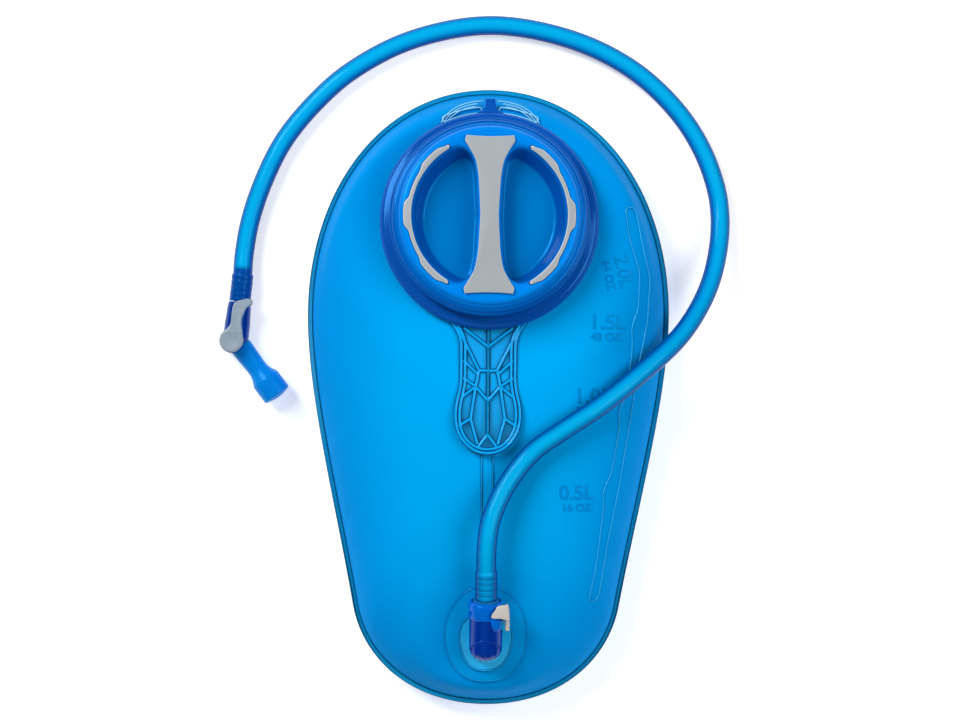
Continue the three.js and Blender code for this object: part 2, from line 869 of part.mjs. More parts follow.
function exitSocket() {
  const { rear, bellFrom, mouth } = socket;
  const skin = [
    [0, rear],
    [bodyRadius * 0.5, rear + 0.7],
    [bodyRadius * 0.87, rear + 2.6],
    [bodyRadius, rear + 5.4],
    [bodyRadius, bellFrom - 0.5],
    [bellRadius, bellFrom],
    [bellRadius, mouth - 0.6],
    [bellRadius - 0.6, mouth],
    [0, mouth],
  ];
  const ribs = [0, 1, 2].map((i) => {
    const at = rear + 1.6 + 2.1 * i;
    const radius = bodyRadius * Math.sqrt(1 - ((rear + 5.4 - at) / 5.6) ** 2) + 0.45;
    return rod(radius, at, at + 0.8);
  });
  const neck = solid(disc(exitPort.neckRadius, -4, axisHeight, smallRound));
  const foot = solid(disc(bodyRadius - 0.5, stepTop + gap, axisHeight - 3, smallRound));
  const plateFrom = latch.from - slotClear;
  const plateTo = latch.from + latch.thickness + slotClear;
  const slotHalf = latchHalf + slotClear;
  const height = axisHeight;
  return cut(
    join(solid(onSocketAxis(skin, smallRound)), ...ribs, neck, foot),
    rod(boreRadius, socket.boreFrom, mouth + 5),
    rod(plug.flangeRadius + gap, 19.8, mouth + 5),
    rod(plug.probeRadius + socket.seatClearance, socket.seatFrom - 1, socket.boreFrom + 1),
    rod(chamberRadius, socket.chamberFrom, socket.seatFrom),
    solid(disc(socket.feedRadius, -10, axisHeight, 16)),
    solid(block(-12, 12, plateFrom, plateTo, height - slotHalf, height + slotHalf)),
    solid(block(bellRadius - 1.2, 14, 5.2, mouth + 5, height - 7.4, height + 12)),
    solid(springSeat()),
  );
}

function springSeat() {
  const radius = springRadius + gap;
  return new THREE.CylinderGeometry(radius, radius, 20, 12)
    .rotateZ(Math.PI / 2)
    .translate(springX + 10, springY, axisHeight - springDrop);
}

// The latch plate round the plug, with the thumb button that pushes it.
function releaseButton() {
  const { from, thickness, travel, headThickness } = latch;
  const height = axisHeight;
  const holeShape = new THREE.Shape();
  holeShape.absarc(travel, 0, latchHole, -Math.PI / 2, Math.PI / 2, false);
  holeShape.absarc(0, 0, latchHole, Math.PI / 2, -Math.PI / 2, false);
  holeShape.closePath();
  const holeTool = plate(holeShape, -20, 20, 12)
    .rotateX(Math.PI / 2)
    .translate(0, 0, height);
  const outerX = headX + headThickness;
  const buttonTop = bellRadius + 1.7;
  const [low, high] = [height - latchHalf, height + latchHalf];
  const sideFoot = height - springDrop - springRadius;
  const body = join(
    solid(block(-latchHalf, headX + 0.5, from, from + thickness, low, high)),
    solid(block(headX, outerX, 6, 19, sideFoot, height + buttonTop)),
    solid(block(2.6, outerX, 12.6, 19, height + buttonTop - 1.3, height + buttonTop)),
  );
  return cut(body, solid(holeTool));
}

// A coil spring's wire as a tube along a helix about Z, from 0 up to its length.
function coil(radius, wire, length, turns) {
  const steps = turns * 9;
  const path = [];
  for (let i = 0; i <= steps; i++) {
    const angle = (2 * Math.PI * turns * i) / steps;
    const [x, y] = [radius * Math.cos(angle), radius * Math.sin(angle)];
    path.push(new THREE.Vector3(x, y, (length * i) / steps));
  }
  const section = new THREE.Shape();
  section.absarc(0, 0, wire / 2, 0, 2 * Math.PI, false);
  const curve = new THREE.CatmullRomCurve3(path);
  return swept(section, curve, steps);
}

function latchSpring() {
  const wire = 0.4;
  const from = springX + latch.travel + 0.5;
  const length = headX - gap - wire - from;
  return coil(springRadius - wire / 2, wire, length, 5)
    .rotateY(Math.PI / 2)
    .translate(from + wire / 2, springY, axisHeight - springDrop);
}

const probeEnd = -1.6;

function valvePoppet() {
  const front = probeEnd - gap;
  const section = [
    [0, front - 1.9],
    [chamberRadius - 0.7, front - 1.9],
    [chamberRadius - 0.7, front - 0.6],
    [2.7, front - 0.6],
    [2.7, front],
    [0, front],
  ];
  return onSocketAxis(section, smallRound);
}

function poppetSeal() {
  const front = probeEnd - gap;
  const outer = chamberRadius - 0.7;
  const section = [
    [3, front - 0.3],
    [outer, front - 0.3],
    [outer, front + 0.2],
    [3, front + 0.2],
    [3, front - 0.3],
  ];
  return onSocketAxis(section, smallRound);
}

function poppetSpring() {
  const wire = 0.5;
  const back = socket.chamberFrom + gap;
  const front = probeEnd - gap - 1.9 - gap;
  const length = front - back - wire;
  return coil(chamberRadius - 1.4, wire, length, 3)
    .rotateX(-Math.PI / 2)
    .translate(0, back + wire / 2, axisHeight);
}

const plugFlangeFrom = 20.2;
const plugFlangeTo = 21.6;
const plugRingAt = 8.2;
const plugRingSection = 1.5;

// A barbed stem on an axis: the last points of a plug's profile, out to the end of the barbs.
function barbs(from, count) {
  const profile = [];
  for (let i = 0; i < count; i++) {
    const at = from + i * plug.barbPitch;
    profile.push([plug.stemRadius, at + 0.6]);
    profile.push([plug.barbRadius, at + 0.9]);
    profile.push([plug.stemRadius, at + plug.barbPitch]);
  }
  return profile;
}

function linkPlug() {
  const groove = plugRingSection / 2 + 0.15;
  const end = plugFlangeTo + plug.barbPitch * plug.barbs + 1;
  const section = [
    [plug.boreRadius, probeEnd],
    [plug.probeRadius - 0.4, probeEnd],
    [plug.probeRadius, probeEnd + 0.5],
    [plug.probeRadius, socket.boreFrom + 0.6],
    [plug.noseRadius, socket.boreFrom + 1],
    [plug.noseRadius, plugRingAt - groove],
    [plug.noseRadius - 1.5, plugRingAt - groove],
    [plug.noseRadius - 1.5, plugRingAt + groove],
    [plug.noseRadius, plugRingAt + groove],
    [plug.noseRadius, latch.from - 0.5],
    [plug.noseRadius - 1, latch.from - 0.5],
    [plug.noseRadius - 1, latch.from + latch.thickness + 0.5],
    [plug.noseRadius, latch.from + latch.thickness + 1],
    [plug.noseRadius, plugFlangeFrom],
    [plug.flangeRadius, plugFlangeFrom],
    [plug.flangeRadius, plugFlangeTo],
    [plug.stemRadius, plugFlangeTo],
    ...barbs(plugFlangeTo, plug.barbs),
    [plug.stemRadius, end],
    [plug.boreRadius, end],
    [plug.boreRadius, probeEnd],
  ];
  return onSocketAxis(section, smallRound);
}

function plugRing() {
  const middle = boreRadius - 0.15 - plugRingSection / 2;
  const sides = 8;
  const profile = [];
  for (let i = 0; i < sides; i++) {
    const angle = (2 * Math.PI * i) / sides;
    profile.push([
      middle + (plugRingSection / 2) * Math.cos(angle),
      plugRingAt + (plugRingSection / 2) * Math.sin(angle),
    ]);
  }
  profile.push(profile[0]);
  return onSocketAxis(profile, smallRound);
}

// ---- drinking tube ----

const elbow = new THREE.Vector3(mouthpiece.elbowX, mouthpiece.elbowY, mouthpiece.height);
// The end face of the shut-off's body, where the tube meets it.
const bodyEnd = new THREE.Vector3(mouthpiece.stemX, mouthpiece.stemY, mouthpiece.height);
const bodyLength = bodyEnd.distanceTo(elbow);
const stemAxis = bodyEnd.clone().sub(elbow).normalize();

// Where the tube starts, against the plug's flange.
function tubeStart() {
  exitGroup.updateMatrix();
  const place = new THREE.Vector3(0, plugFlangeTo + gap, axisHeight);
  return place.applyMatrix4(exitGroup.matrix);
}

function drinkTube() {
  const path = [
    tubeStart(),
    ...tubeRoute.map((place) => new THREE.Vector3(...place)),
    bodyEnd.clone().addScaledVector(stemAxis, 12),
    bodyEnd.clone().addScaledVector(stemAxis, gap),
  ];
  const section = new THREE.Shape();
  const opening = new THREE.Path();
  for (let i = 0; i <= tube.sides; i++) {
    const angle = (2 * Math.PI * i) / tube.sides;
    const [x, y] = [Math.cos(angle), Math.sin(angle)];
    if (i === 0) {
      section.moveTo(tube.outerRadius * x, tube.outerRadius * y);
      opening.moveTo(tube.innerRadius * x, tube.innerRadius * y);
    } else {
      section.lineTo(tube.outerRadius * x, tube.outerRadius * y);
      opening.lineTo(tube.innerRadius * x, tube.innerRadius * y);
    }
  }
  section.holes.push(opening);
  const curve = new THREE.CatmullRomCurve3(path, false, "centripetal");
  curve.arcLengthDivisions = 2000;
  return swept(section, curve, tube.steps);
}

// ---- mouthpiece ----

// A profile of [radius, distance] pairs, turned about an axis that leaves `start` along `direction`.
function turnedAlong(profile, start, direction, segments) {
  const turn = new THREE.Quaternion().setFromUnitVectors(alongY, direction);
  return turnedAlongY(profile, segments)
    .applyQuaternion(turn)
    .translate(start.x, start.y, start.z);
}

const biteAngle = degrees(mouthpiece.biteDirection);
const biteAxis = new THREE.Vector3(Math.cos(biteAngle), Math.sin(biteAngle), 0);

function onRotorAxis(geometry) {
  return geometry.translate(mouthpiece.rotorX, mouthpiece.rotorY, mouthpiece.height);
}

const spigotLength = 17;
const wellFloor = 1.5 - mouthpiece.bossHalf;

function flowBore(direction, length) {
  const radius = mouthpiece.boreRadius;
  const profile = [
    [0, 0],
    [radius, 0],
    [radius, length],
    [0, length],
  ];
  return turnedAlong(profile, elbow, direction, 10);
}

function shutoffBody() {
  const { bossHalf, biteFrom } = mouthpiece;
  const outer = mouthpiece.bodyRadius;
  const spigot = mouthpiece.spigotRadius;
  const bossRadius = mouthpiece.rotorRadius + gap + mouthpiece.bossWall;
  const stemProfile = [
    [0, -2],
    [outer, -2],
    [outer, bodyLength - 0.8],
    [outer - 0.8, bodyLength],
    [plug.stemRadius, bodyLength],
    ...barbs(bodyLength, plug.barbs),
    [plug.stemRadius, bodyLength + plug.barbPitch * plug.barbs + 1],
    [0, bodyLength + plug.barbPitch * plug.barbs + 1],
  ];
  const biteProfile = [
    [0, 0],
    [spigot + 2, 0],
    [spigot + 2, biteFrom - gap],
    [spigot, biteFrom - gap],
    [spigot, spigotLength - 2],
    [spigot + 0.5, spigotLength - 2],
    [spigot, spigotLength],
    [0, spigotLength],
  ];
  const rotorWell = disc(mouthpiece.rotorRadius + gap, wellFloor, 30, smallRound);
  return cut(
    join(
      solid(turnedAlong(stemProfile, elbow, stemAxis, smallRound)),
      solid(turnedAlong(biteProfile, elbow, biteAxis, smallRound)),
      solid(onRotorAxis(disc(bossRadius, -bossHalf, bossHalf, smallRound))),
    ),
    solid(flowBore(stemAxis, 60)),
    solid(flowBore(biteAxis, 40)),
    solid(onRotorAxis(rotorWell)),
  );
}

const rotorTop = mouthpiece.bossHalf + lever.shaftClear;
const shaftReach = 1.6; // how far the shaft goes into the lever
const rotorRingAt = 5.2;
const rotorRingSection = 1.2;

function shutoffRotor() {
  const { rotorRadius, bossHalf, shaftRadius } = mouthpiece;
  const groove = rotorRingSection / 2 + 0.1;
  const profile = [
    [0, wellFloor + gap],
    [rotorRadius, wellFloor + gap],
    [rotorRadius, rotorRingAt - groove],
    [rotorRadius - 1.1, rotorRingAt - groove],
    [rotorRadius - 1.1, rotorRingAt + groove],
    [rotorRadius, rotorRingAt + groove],
    [rotorRadius, bossHalf],
    [shaftRadius, bossHalf],
    [shaftRadius, rotorTop + shaftReach],
    [0, rotorTop + shaftReach],
  ];
  return cut(
    solid(onRotorAxis(turned(profile, smallRound))),
    solid(flowBore(stemAxis, 20)),
    solid(flowBore(biteAxis, 20)),
  );
}

function rotorRing() {
  const middle = mouthpiece.rotorRadius + gap - 0.15 - rotorRingSection / 2;
  return onRotorAxis(torus(middle, rotorRingSection, rotorRingAt, smallRound));
}

// The lever lies over the body and swings about the rotor's axis.
function shutoffLever() {
  const bottom = rotorTop;
  const top = bottom + lever.thickness;
  const arm = new THREE.Shape();
  arm.moveTo(-4.6, 3.2);
  arm.bezierCurveTo(-1.6, 7, -1.4, 9.5, -0.6, 12.5);
  arm.bezierCurveTo(0, 16, 0.9, 18.6, 3.2, 19.9);
  arm.bezierCurveTo(6, 20.6, 9.6, 19.4, 11.4, 16.6);
  arm.bezierCurveTo(11.2, 15, 9.8, 14.8, 8.2, 14.9);
  arm.bezierCurveTo(6.4, 14.4, 5.4, 12, 5, 9.6);
  arm.bezierCurveTo(4.8, 7.4, 4.9, 5, 5.2, 2);
  arm.lineTo(0, -1);
  arm.closePath();
  const knob = [
    [0, bottom],
    [lever.knobRadius, bottom],
    [lever.knobRadius, top - 0.5],
    [lever.knobRadius - 0.5, top],
    [0, top],
  ];
  const body = join(solid(plate(arm, bottom, top - 0.7, 8)), solid(turned(knob, 24)));
  const hubTop = bottom + shaftReach + gap;
  const hub = solid(disc(mouthpiece.shaftRadius + gap, bottom - 5, hubTop, smallRound));
  return onRotorAxis(geometryOf(cut(body, hub)));
}

// The soft valve that is squeezed between the teeth: a flattened flared body, slit at its end, over
// the spigot.
function biteValve() {
  const { biteFrom, biteLength, spigotRadius, biteFlatness } = mouthpiece;
  const end = biteFrom + biteLength;
  const skin = [
    [0, biteFrom],
    [spigotRadius + 1.9, biteFrom],
    [spigotRadius + 2, biteFrom + 4],
    [5.3, biteFrom + 8],
    [4.95, biteFrom + 11],
    [5.6, biteFrom + 13.6],
    [7.2, biteFrom + 16.2],
    [7.5, biteFrom + 17.6],
    [7.3, end - 1.6],
    [6.4, end - 0.5],
    [0, end + 0.1],
  ];
  const inner = spigotRadius + gap;
  const overRidge = inner + 0.5;
  const hollow = [
    [0, 0],
    [inner, 0],
    [inner, spigotLength - 2 - gap],
    [overRidge, spigotLength - 2 - gap],
    [inner, spigotLength + gap],
    [0, spigotLength + 2],
  ];
  const slitMiddle = spigotLength + 2 + biteLength / 2;
  const slit = new THREE.BoxGeometry(0.5, biteLength, 7).translate(0, slitMiddle, 0);
  const turn = new THREE.Quaternion().setFromUnitVectors(alongY, biteAxis);
  const body = cut(
    solid(turnedAlongY(skin, 24).scale(1, 1, biteFlatness)),
    solid(turnedAlongY(hollow, smallRound)),
    solid(slit),
  );
  return geometryOf(body).applyQuaternion(turn).translate(elbow.x, elbow.y, elbow.z);
}

// ---- assembly ----

fillGroup.add(
  mesh("port_flange", portFlange(), finish.clearMoulding),
  mesh("fill_collar", fillCollar(), finish.collarBlue),
  mesh("cap_body", capBody(), finish.capBlue),
  mesh("cap_bridge_grip", capBridgeGrip(), finish.greyRubber),
  mesh("cap_arc_grip_left", capArcGrip(-1), finish.greyRubber),
  mesh("cap_arc_grip_right", capArcGrip(1), finish.greyRubber),
  mesh("cap_o_ring", capRing(), finish.blackRubber),
);

exitGroup.add(
  mesh("exit_flange", exitFlange(), finish.clearMoulding),
  mesh("exit_socket", exitSocket(), finish.navy),
  mesh("release_button", releaseButton(), finish.button),
  mesh("latch_spring", latchSpring(), finish.steel),
  mesh("valve_poppet", valvePoppet(), finish.whitePlastic),
  mesh("poppet_seal", poppetSeal(), finish.blackRubber),
  mesh("poppet_spring", poppetSpring(), finish.steel),
  mesh("link_plug", linkPlug(), finish.navy),
  mesh("plug_o_ring", plugRing(), finish.blackRubber),
);

const bladder = new THREE.Group();
bladder.add(
  mesh("front_film", frontFilm(), finish.film),
  mesh("back_film", backFilm(), finish.film),
  mesh("spine_strip", spineStrip(), finish.clearMoulding),
  mesh("drink_tube", drinkTube(), finish.tube),
  mesh("shutoff_body", shutoffBody(), finish.navy),
  mesh("shutoff_rotor", shutoffRotor(), finish.whitePlastic),
  mesh("rotor_o_ring", rotorRing(), finish.blackRubber),
  mesh("shutoff_lever", shutoffLever(), finish.greyRubber),
  mesh("bite_valve", biteValve(), finish.bite),
  fillGroup,
  exitGroup,
);

export default bladder;
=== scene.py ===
import math

import bpy
from mathutils import Matrix, Vector


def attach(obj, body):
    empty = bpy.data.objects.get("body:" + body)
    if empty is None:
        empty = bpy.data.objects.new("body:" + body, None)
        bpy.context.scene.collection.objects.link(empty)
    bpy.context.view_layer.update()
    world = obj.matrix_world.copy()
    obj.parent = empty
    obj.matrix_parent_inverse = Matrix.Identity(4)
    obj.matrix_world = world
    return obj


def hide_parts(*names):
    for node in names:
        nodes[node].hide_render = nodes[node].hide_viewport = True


# A hydration bladder, lying on its back: welded film reservoir, screw cap, quick-release outlet and
# a drinking tube with an elbow shut-off and a bite valve. Sizes are in millimetres unless a name
# says otherwise, and mm turns them to Blender's metres.

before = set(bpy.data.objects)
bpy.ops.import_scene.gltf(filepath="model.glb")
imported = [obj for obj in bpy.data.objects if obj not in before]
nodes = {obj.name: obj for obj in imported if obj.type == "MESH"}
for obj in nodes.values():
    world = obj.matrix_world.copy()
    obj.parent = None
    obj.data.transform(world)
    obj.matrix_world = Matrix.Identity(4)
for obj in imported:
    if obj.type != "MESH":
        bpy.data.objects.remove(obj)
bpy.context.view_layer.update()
mm = 0.001
print("frame loaded:", len(nodes), "nodes")

# --- camera, floor and lights ---

studio = {
    "cameraPlace": (-0.00397, 0.01847, 1.218),  # straight over the bag, in metres
    "cameraRoll": 0.5145,  # degrees
    "lens": 90,
    "floor": "#f7f7f7",
    "floorGlow": 0.45,  # keeps the paper white where the bag shades it
    "keyPower": 27,
    "fillPower": 14,
    "frontPower": 2.5,
    "worldStrength": 0.14,
    "wallStrength": 0.9,  # what the camera sees behind the floor
}


def toLinear(value):
    # an sRGB hex colour becomes linear light, and anything else is passed on
    if not (isinstance(value, str) and value.startswith("#")):
        return value
    channels = [int(value[i : i + 2], 16) / 255 for i in (1, 3, 5)]
    linear = [c / 12.92 if c <= 0.04045 else ((c + 0.055) / 1.055) ** 2.4 for c in channels]
    return (*linear, 1)


def addNode(tree, kind, settings=None):
    # a setting is a property, a ramp's stops, an input's value or the socket that feeds the input
    made = tree.nodes.new("ShaderNode" + kind)
    for name, value in (settings or {}).items():
        if isinstance(value, bpy.types.NodeSocket):
            tree.links.new(value, made.inputs[name])
        elif name == "stops":
            stops = made.color_ramp.elements
            for i in (0, -1):
                stops[i].position, stops[i].color = value[i][0], toLinear(value[i][1])
            for place, colour in value[1:-1]:
                stops.new(place).color = toLinear(colour)
        elif isinstance(name, int) or name in made.inputs:
            made.inputs[name].default_value = toLinear(value)
        else:
            setattr(made, name, value)
    return made


def startMaterial(name, settings):
    material = bpy.data.materials.new(name)
    material.use_nodes = True
    tree = material.node_tree
    tree.nodes.clear()
    shader = addNode(tree, "BsdfPrincipled", settings)
    addNode(tree, "OutputMaterial", {"Surface": shader.outputs[0]})
    coords = addNode(tree, "TexCoord")
    return material, tree, coords.outputs["Object"], shader


def addArea(name, place, target, size, power, tint):
    bpy.ops.object.light_add(type="AREA", location=place)
    lamp = bpy.context.active_object
    lamp.name = name
    lamp.rotation_euler = (Vector(target) - Vector(place)).to_track_quat("-Z", "Y").to_euler()
    lamp.data.shape = "RECTANGLE"
    lamp.data.size, lamp.data.size_y = size
    lamp.data.energy = power
    lamp.data.color = tint


bpy.ops.object.select_all(action="DESELECT")
bpy.ops.object.camera_add(
    location=studio["cameraPlace"], rotation=(0, 0, math.radians(studio["cameraRoll"]))
)
camera = bpy.context.active_object
camera.data.lens = studio["lens"]
camera.data.sensor_width = 36
bpy.context.scene.camera = camera
bpy.context.scene.view_settings.view_transform = "Standard"  # keeps the blues as strong as they are

bpy.ops.mesh.primitive_plane_add(size=8, location=(0, 0, -0.0003))
floor = bpy.context.active_object
floor.name = "floor"
# a seamless white sweep that catches only soft shadows
floorPaint, floorTree, floorCoords, floorShader = startMaterial(
    "matt paper backdrop",
    {
        "Roughness": 0.9, "Specular IOR Level": 0.1, "Emission Color": "#ffffff",
        "Emission Strength": studio["floorGlow"],
    },
)
fleck = addNode(floorTree, "TexNoise", {"Scale": 900, "Vector": floorCoords})
flecked = {"data_type": "RGBA", 0: fleck.outputs["Fac"], 6: studio["floor"], 7: "#ffffff"}
floorMix = addNode(floorTree, "Mix", flecked)
floorTree.links.new(floorMix.outputs[2], floorShader.inputs["Base Color"])
floor.data.materials.append(floorPaint)

for name, place, size, tint in (
    ("key", (-1.0, 0.95, 1.25), (0.6, 1.1), (1, 1, 1)),
    ("fill", (1.15, 0.1, 1.3), (1.0, 1.0), (1, 1, 1)),
    ("front", (-0.2, -1.3, 1.1), (1.2, 0.8), (1, 1, 1)),
):
    addArea(name, place, (0, 0, 0.03), size, studio[name + "Power"], tint)
world = bpy.data.worlds.new("studio")
bpy.context.scene.world = world
world.use_nodes = True
background = world.node_tree.nodes["Background"]
background.inputs["Color"].default_value = (1, 1, 1, 1)
# a pale wall behind the floor, which lights the bag only a little
seen = addNode(world.node_tree, "LightPath").outputs["Is Camera Ray"]
levels = {"To Min": studio["worldStrength"], "To Max": studio["wallStrength"], "Value": seen}
strength = addNode(world.node_tree, "MapRange", levels)
world.node_tree.links.new(strength.outputs[0], background.inputs["Strength"])
print("camera, floor and lights made")

# --- modelling helpers ---


def deselect():
    if bpy.context.mode != "OBJECT":
        bpy.ops.object.mode_set(mode="OBJECT")
    bpy.ops.object.select_all(action="DESELECT")


def pick(*pieces):
    deselect()
    for piece in pieces:
        piece.select_set(True)
    bpy.context.view_layer.objects.active = pieces[0]


def applyModifier(piece, kind, **settings):
    pick(piece)
    modifier = piece.modifiers.new("step", kind)
    for name, value in settings.items():
        setattr(modifier, name, value)
    bpy.ops.object.modifier_apply(modifier=modifier.name)


def settle(piece, place, creaseAngle=32):
    # the place goes into the mesh, then the shading is smoothed up to the crease angle
    pick(piece)
    piece.data.transform(place)
    bpy.ops.object.shade_smooth_by_angle(angle=math.radians(creaseAngle))
    return piece


def shifted(*place):
    return Matrix.Translation(Vector(place) * mm)


def mirrored(points):
    return [(-x, y) for x, y in reversed(points)]


def meshPiece(name, places, faces):
    data = bpy.data.meshes.new(name)
    data.from_pydata([Vector(p) * mm for p in places], [], faces)
    piece = bpy.data.objects.new(name, data)
    bpy.context.scene.collection.objects.link(piece)
    return piece


def faceOutward():
    bpy.ops.mesh.select_all(action="SELECT")
    bpy.ops.mesh.remove_doubles(threshold=0.000004)
    bpy.ops.mesh.normals_make_consistent(inside=False)
    bpy.ops.object.mode_set(mode="OBJECT")


def spunPiece(name, profile, steps=96, axis=(0, 0, 1)):
    # a chain of (radius, height) points is extruded from one vertex and spun about the axis
    alongY = axis == (0, 1, 0)
    places = [Vector((r, h, 0) if alongY else (r, 0, h)) * mm for r, h in profile]
    deselect()
    bpy.ops.mesh.primitive_plane_add(size=0.01)
    piece = bpy.context.active_object
    piece.name = name
    bpy.ops.object.mode_set(mode="EDIT")
    bpy.ops.mesh.merge(type="CENTER")
    bpy.ops.transform.translate(value=places[0])
    for a, b in zip(places, places[1:]):
        bpy.ops.mesh.extrude_region_move(TRANSFORM_OT_translate={"value": b - a})
    bpy.ops.mesh.select_all(action="SELECT")
    bpy.ops.mesh.spin(steps=steps, angle=2 * math.pi, center=(0, 0, 0), axis=axis)
    faceOutward()
    return piece


def platePiece(name, outline, bottom, top, bevel=0.0, segments=3):
    # a filled outline of (x, y) points raised from bottom to top, with its edges rounded
    deselect()
    bpy.ops.mesh.primitive_circle_add(vertices=len(outline), radius=1, fill_type="NGON")
    piece = bpy.context.active_object
    piece.name = name
    for vertex, (x, y) in zip(piece.data.vertices, outline):
        vertex.co = (x * mm, y * mm, bottom * mm)
    bpy.ops.object.mode_set(mode="EDIT")
    bpy.ops.mesh.select_all(action="SELECT")
    rise = {"value": (0, 0, (top - bottom) * mm)}
    bpy.ops.mesh.extrude_region_move(TRANSFORM_OT_translate=rise)
    faceOutward()
    if bevel:
        applyModifier(
            piece, "BEVEL", width=bevel * mm, segments=segments, limit_method="ANGLE",
            angle_limit=math.radians(40),
        )
    return piece


def loftPiece(name, levels):
    # rings of (x, y, z) points of one length, bridged from the first to the last and capped
    deselect()
    count = len(levels[0])
    bpy.ops.mesh.primitive_circle_add(vertices=count, radius=1, fill_type="NGON")
    piece = bpy.context.active_object
    piece.name = name
    for level in range(1, len(levels)):
        bpy.ops.object.mode_set(mode="EDIT")
        bpy.ops.mesh.extrude_region_move(TRANSFORM_OT_translate={"value": (0, 0, 0.1)})
        bpy.ops.object.mode_set(mode="OBJECT")
    for i, vertex in enumerate(piece.data.vertices):
        level, k = divmod(i, count)
        vertex.co = Vector(levels[level][k]) * mm
    bpy.ops.object.mode_set(mode="EDIT")
    faceOutward()
    return piece


def beadPiece(name, runs, radius, closed=False, resolution=3):
    # thin round beads along runs of points in millimetres, closed at their ends
    deselect()
    curve = bpy.data.curves.new(name, "CURVE")
    curve.dimensions = "3D"
    curve.bevel_depth = radius * mm
    curve.bevel_resolution = resolution
    curve.use_fill_caps = True
    for run in runs:
        spline = curve.splines.new("POLY")
        spline.points.add(len(run) - 1)
        for point, place in zip(spline.points, run):
            point.co = (*(Vector(place) * mm), 1)
        spline.use_cyclic_u = closed
    piece = bpy.data.objects.new(name, curve)
    bpy.context.scene.collection.objects.link(piece)
    pick(piece)
    bpy.ops.object.convert(target="MESH")
    return bpy.context.active_object


def cutAway(piece, *tools):
    for tool in tools:
        applyModifier(piece, "BOOLEAN", object=tool, operation="DIFFERENCE", solver="EXACT")
        bpy.data.objects.remove(tool)
    return piece


def joinPieces(name, pieces):
    pick(*pieces)
    bpy.ops.object.join()
    bpy.context.active_object.name = name
    return bpy.context.active_object


def blockPiece(name, low, high, bevel, segments=3):
    low, high = Vector(low) * mm, Vector(high) * mm
    deselect()
    bpy.ops.mesh.primitive_cube_add(size=1, location=(low + high) / 2)
    piece = bpy.context.active_object
    piece.name = name
    piece.scale = high - low
    bpy.ops.object.transform_apply(location=True, rotation=True, scale=True)
    applyModifier(piece, "BEVEL", width=bevel * mm, segments=segments)
    return piece


def bezier(a, b, c, d, count):
    points = []
    for i in range(count):
        t = i / count
        s = 1 - t
        points.append(
            tuple(
                s**3 * p + 3 * s * s * t * q + 3 * s * t * t * u + t**3 * v
                for p, q, u, v in zip(a, b, c, d)
            )
        )
    return points


def smoothStep(low, high, value):
    t = min(1, max(0, (value - low) / (high - low)))
    return t * t * (3 - 2 * t)


def finishPiece(piece, body, slot, material, *replaced):
    piece.data.materials.clear()
    piece.data.materials.append(material)
    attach(piece, body)
    if replaced:
        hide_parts(*replaced)
    return piece

# --- the drinking tube, which is the cord ---

tubeLine = {
    "outerRadius": 4.85,
    "innerRadius": 3.6,
    "barbSwell": 0.62,  # how far the tube swells over a barb
    "barbPitch": 2.8,
    "barbReach": 13.6,
    "endReach": 16,  # the length at each end that is drawn finer
    "endSpacing": 0.5,
    "sides": 28,
    "spacing": 3.0,
    # from the plug over the bag and round it to the shut-off
    "route": [
        (0, -96.78, 57.84),
        (0, -84.9, 60.6),
        (0, -73, 63.3),
        (1.4, -60.5, 63.7),
        (6.2, -47.6, 61.9),
        (13.6, -35.4, 59.3),
        (23, -24.8, 57.6),
        (35, -16.3, 56.2),
        (54.4, -3.4, 52.9),
        (74.2, 12.3, 46),
        (94, 30.4, 34.6),
        (104.4, 45, 26),
        (111.4, 60, 18.4),
        (115.6, 78, 11.3),
        (116.4, 92, 7.6),
        (114.7, 105.4, 5.6),
        (107.3, 125.6, 5),
        (94, 145.7, 5),
        (72, 165.7, 5),
        (41.3, 180.6, 5),
        (0, 187.6, 5),
        (-39.8, 180, 5),
        (-69.5, 164.5, 5),
        (-87.3, 149.1, 5),
        (-103.8, 128.8, 5),
        (-113.9, 108.5, 5),
        (-120.6, 88.2, 5.1),
        (-123.6, 70, 6),
        (-124.21, 58.54, 7.1),
        (-125.37, 46.9, 7.1),
    ],
}


def splineThrough(points, perSpan):
    # a centripetal Catmull-Rom curve through the points
    points = [Vector(p) for p in points]
    points = [2 * points[0] - points[1], *points, 2 * points[-1] - points[-2]]
    line = []
    for a, b, c, d in zip(points, points[1:], points[2:], points[3:]):
        t1 = (b - a).length ** 0.5
        t2 = t1 + (c - b).length ** 0.5
        t3 = t2 + (d - c).length ** 0.5
        for i in range(perSpan):
            t = t1 + (t2 - t1) * i / perSpan
            p1 = a.lerp(b, t / t1)
            p2 = b.lerp(c, (t - t1) / (t2 - t1))
            p3 = c.lerp(d, (t - t2) / (t3 - t2))
            q1 = p1.lerp(p2, t / t2)
            q2 = p2.lerp(p3, (t - t1) / (t3 - t1))
            line.append(q1.lerp(q2, (t - t1) / (t2 - t1)))
    return [*line, points[-2]]


def evenLine(line, spacing):
    lengths = [0.0]
    for a, b in zip(line, line[1:]):
        lengths.append(lengths[-1] + (b - a).length)
    count = round(lengths[-1] / spacing)
    even, k = [], 0
    for i in range(count + 1):
        want = lengths[-1] * i / count
        while k < len(line) - 2 and lengths[k + 1] < want:
            k += 1
        share = (want - lengths[k]) / (lengths[k + 1] - lengths[k])
        even.append(line[k].lerp(line[k + 1], share))
    return even, lengths[-1]


def barbSwelling(fromEnd):
    # soft rings where the tube is pushed over the barbs of a stem
    if fromEnd > tubeLine["barbReach"]:
        return 0
    ridge = 0.5 + 0.5 * math.cos(2 * math.pi * (fromEnd - 1.2) / tubeLine["barbPitch"])
    return tubeLine["barbSwell"] * (0.72 + 0.28 * ridge)


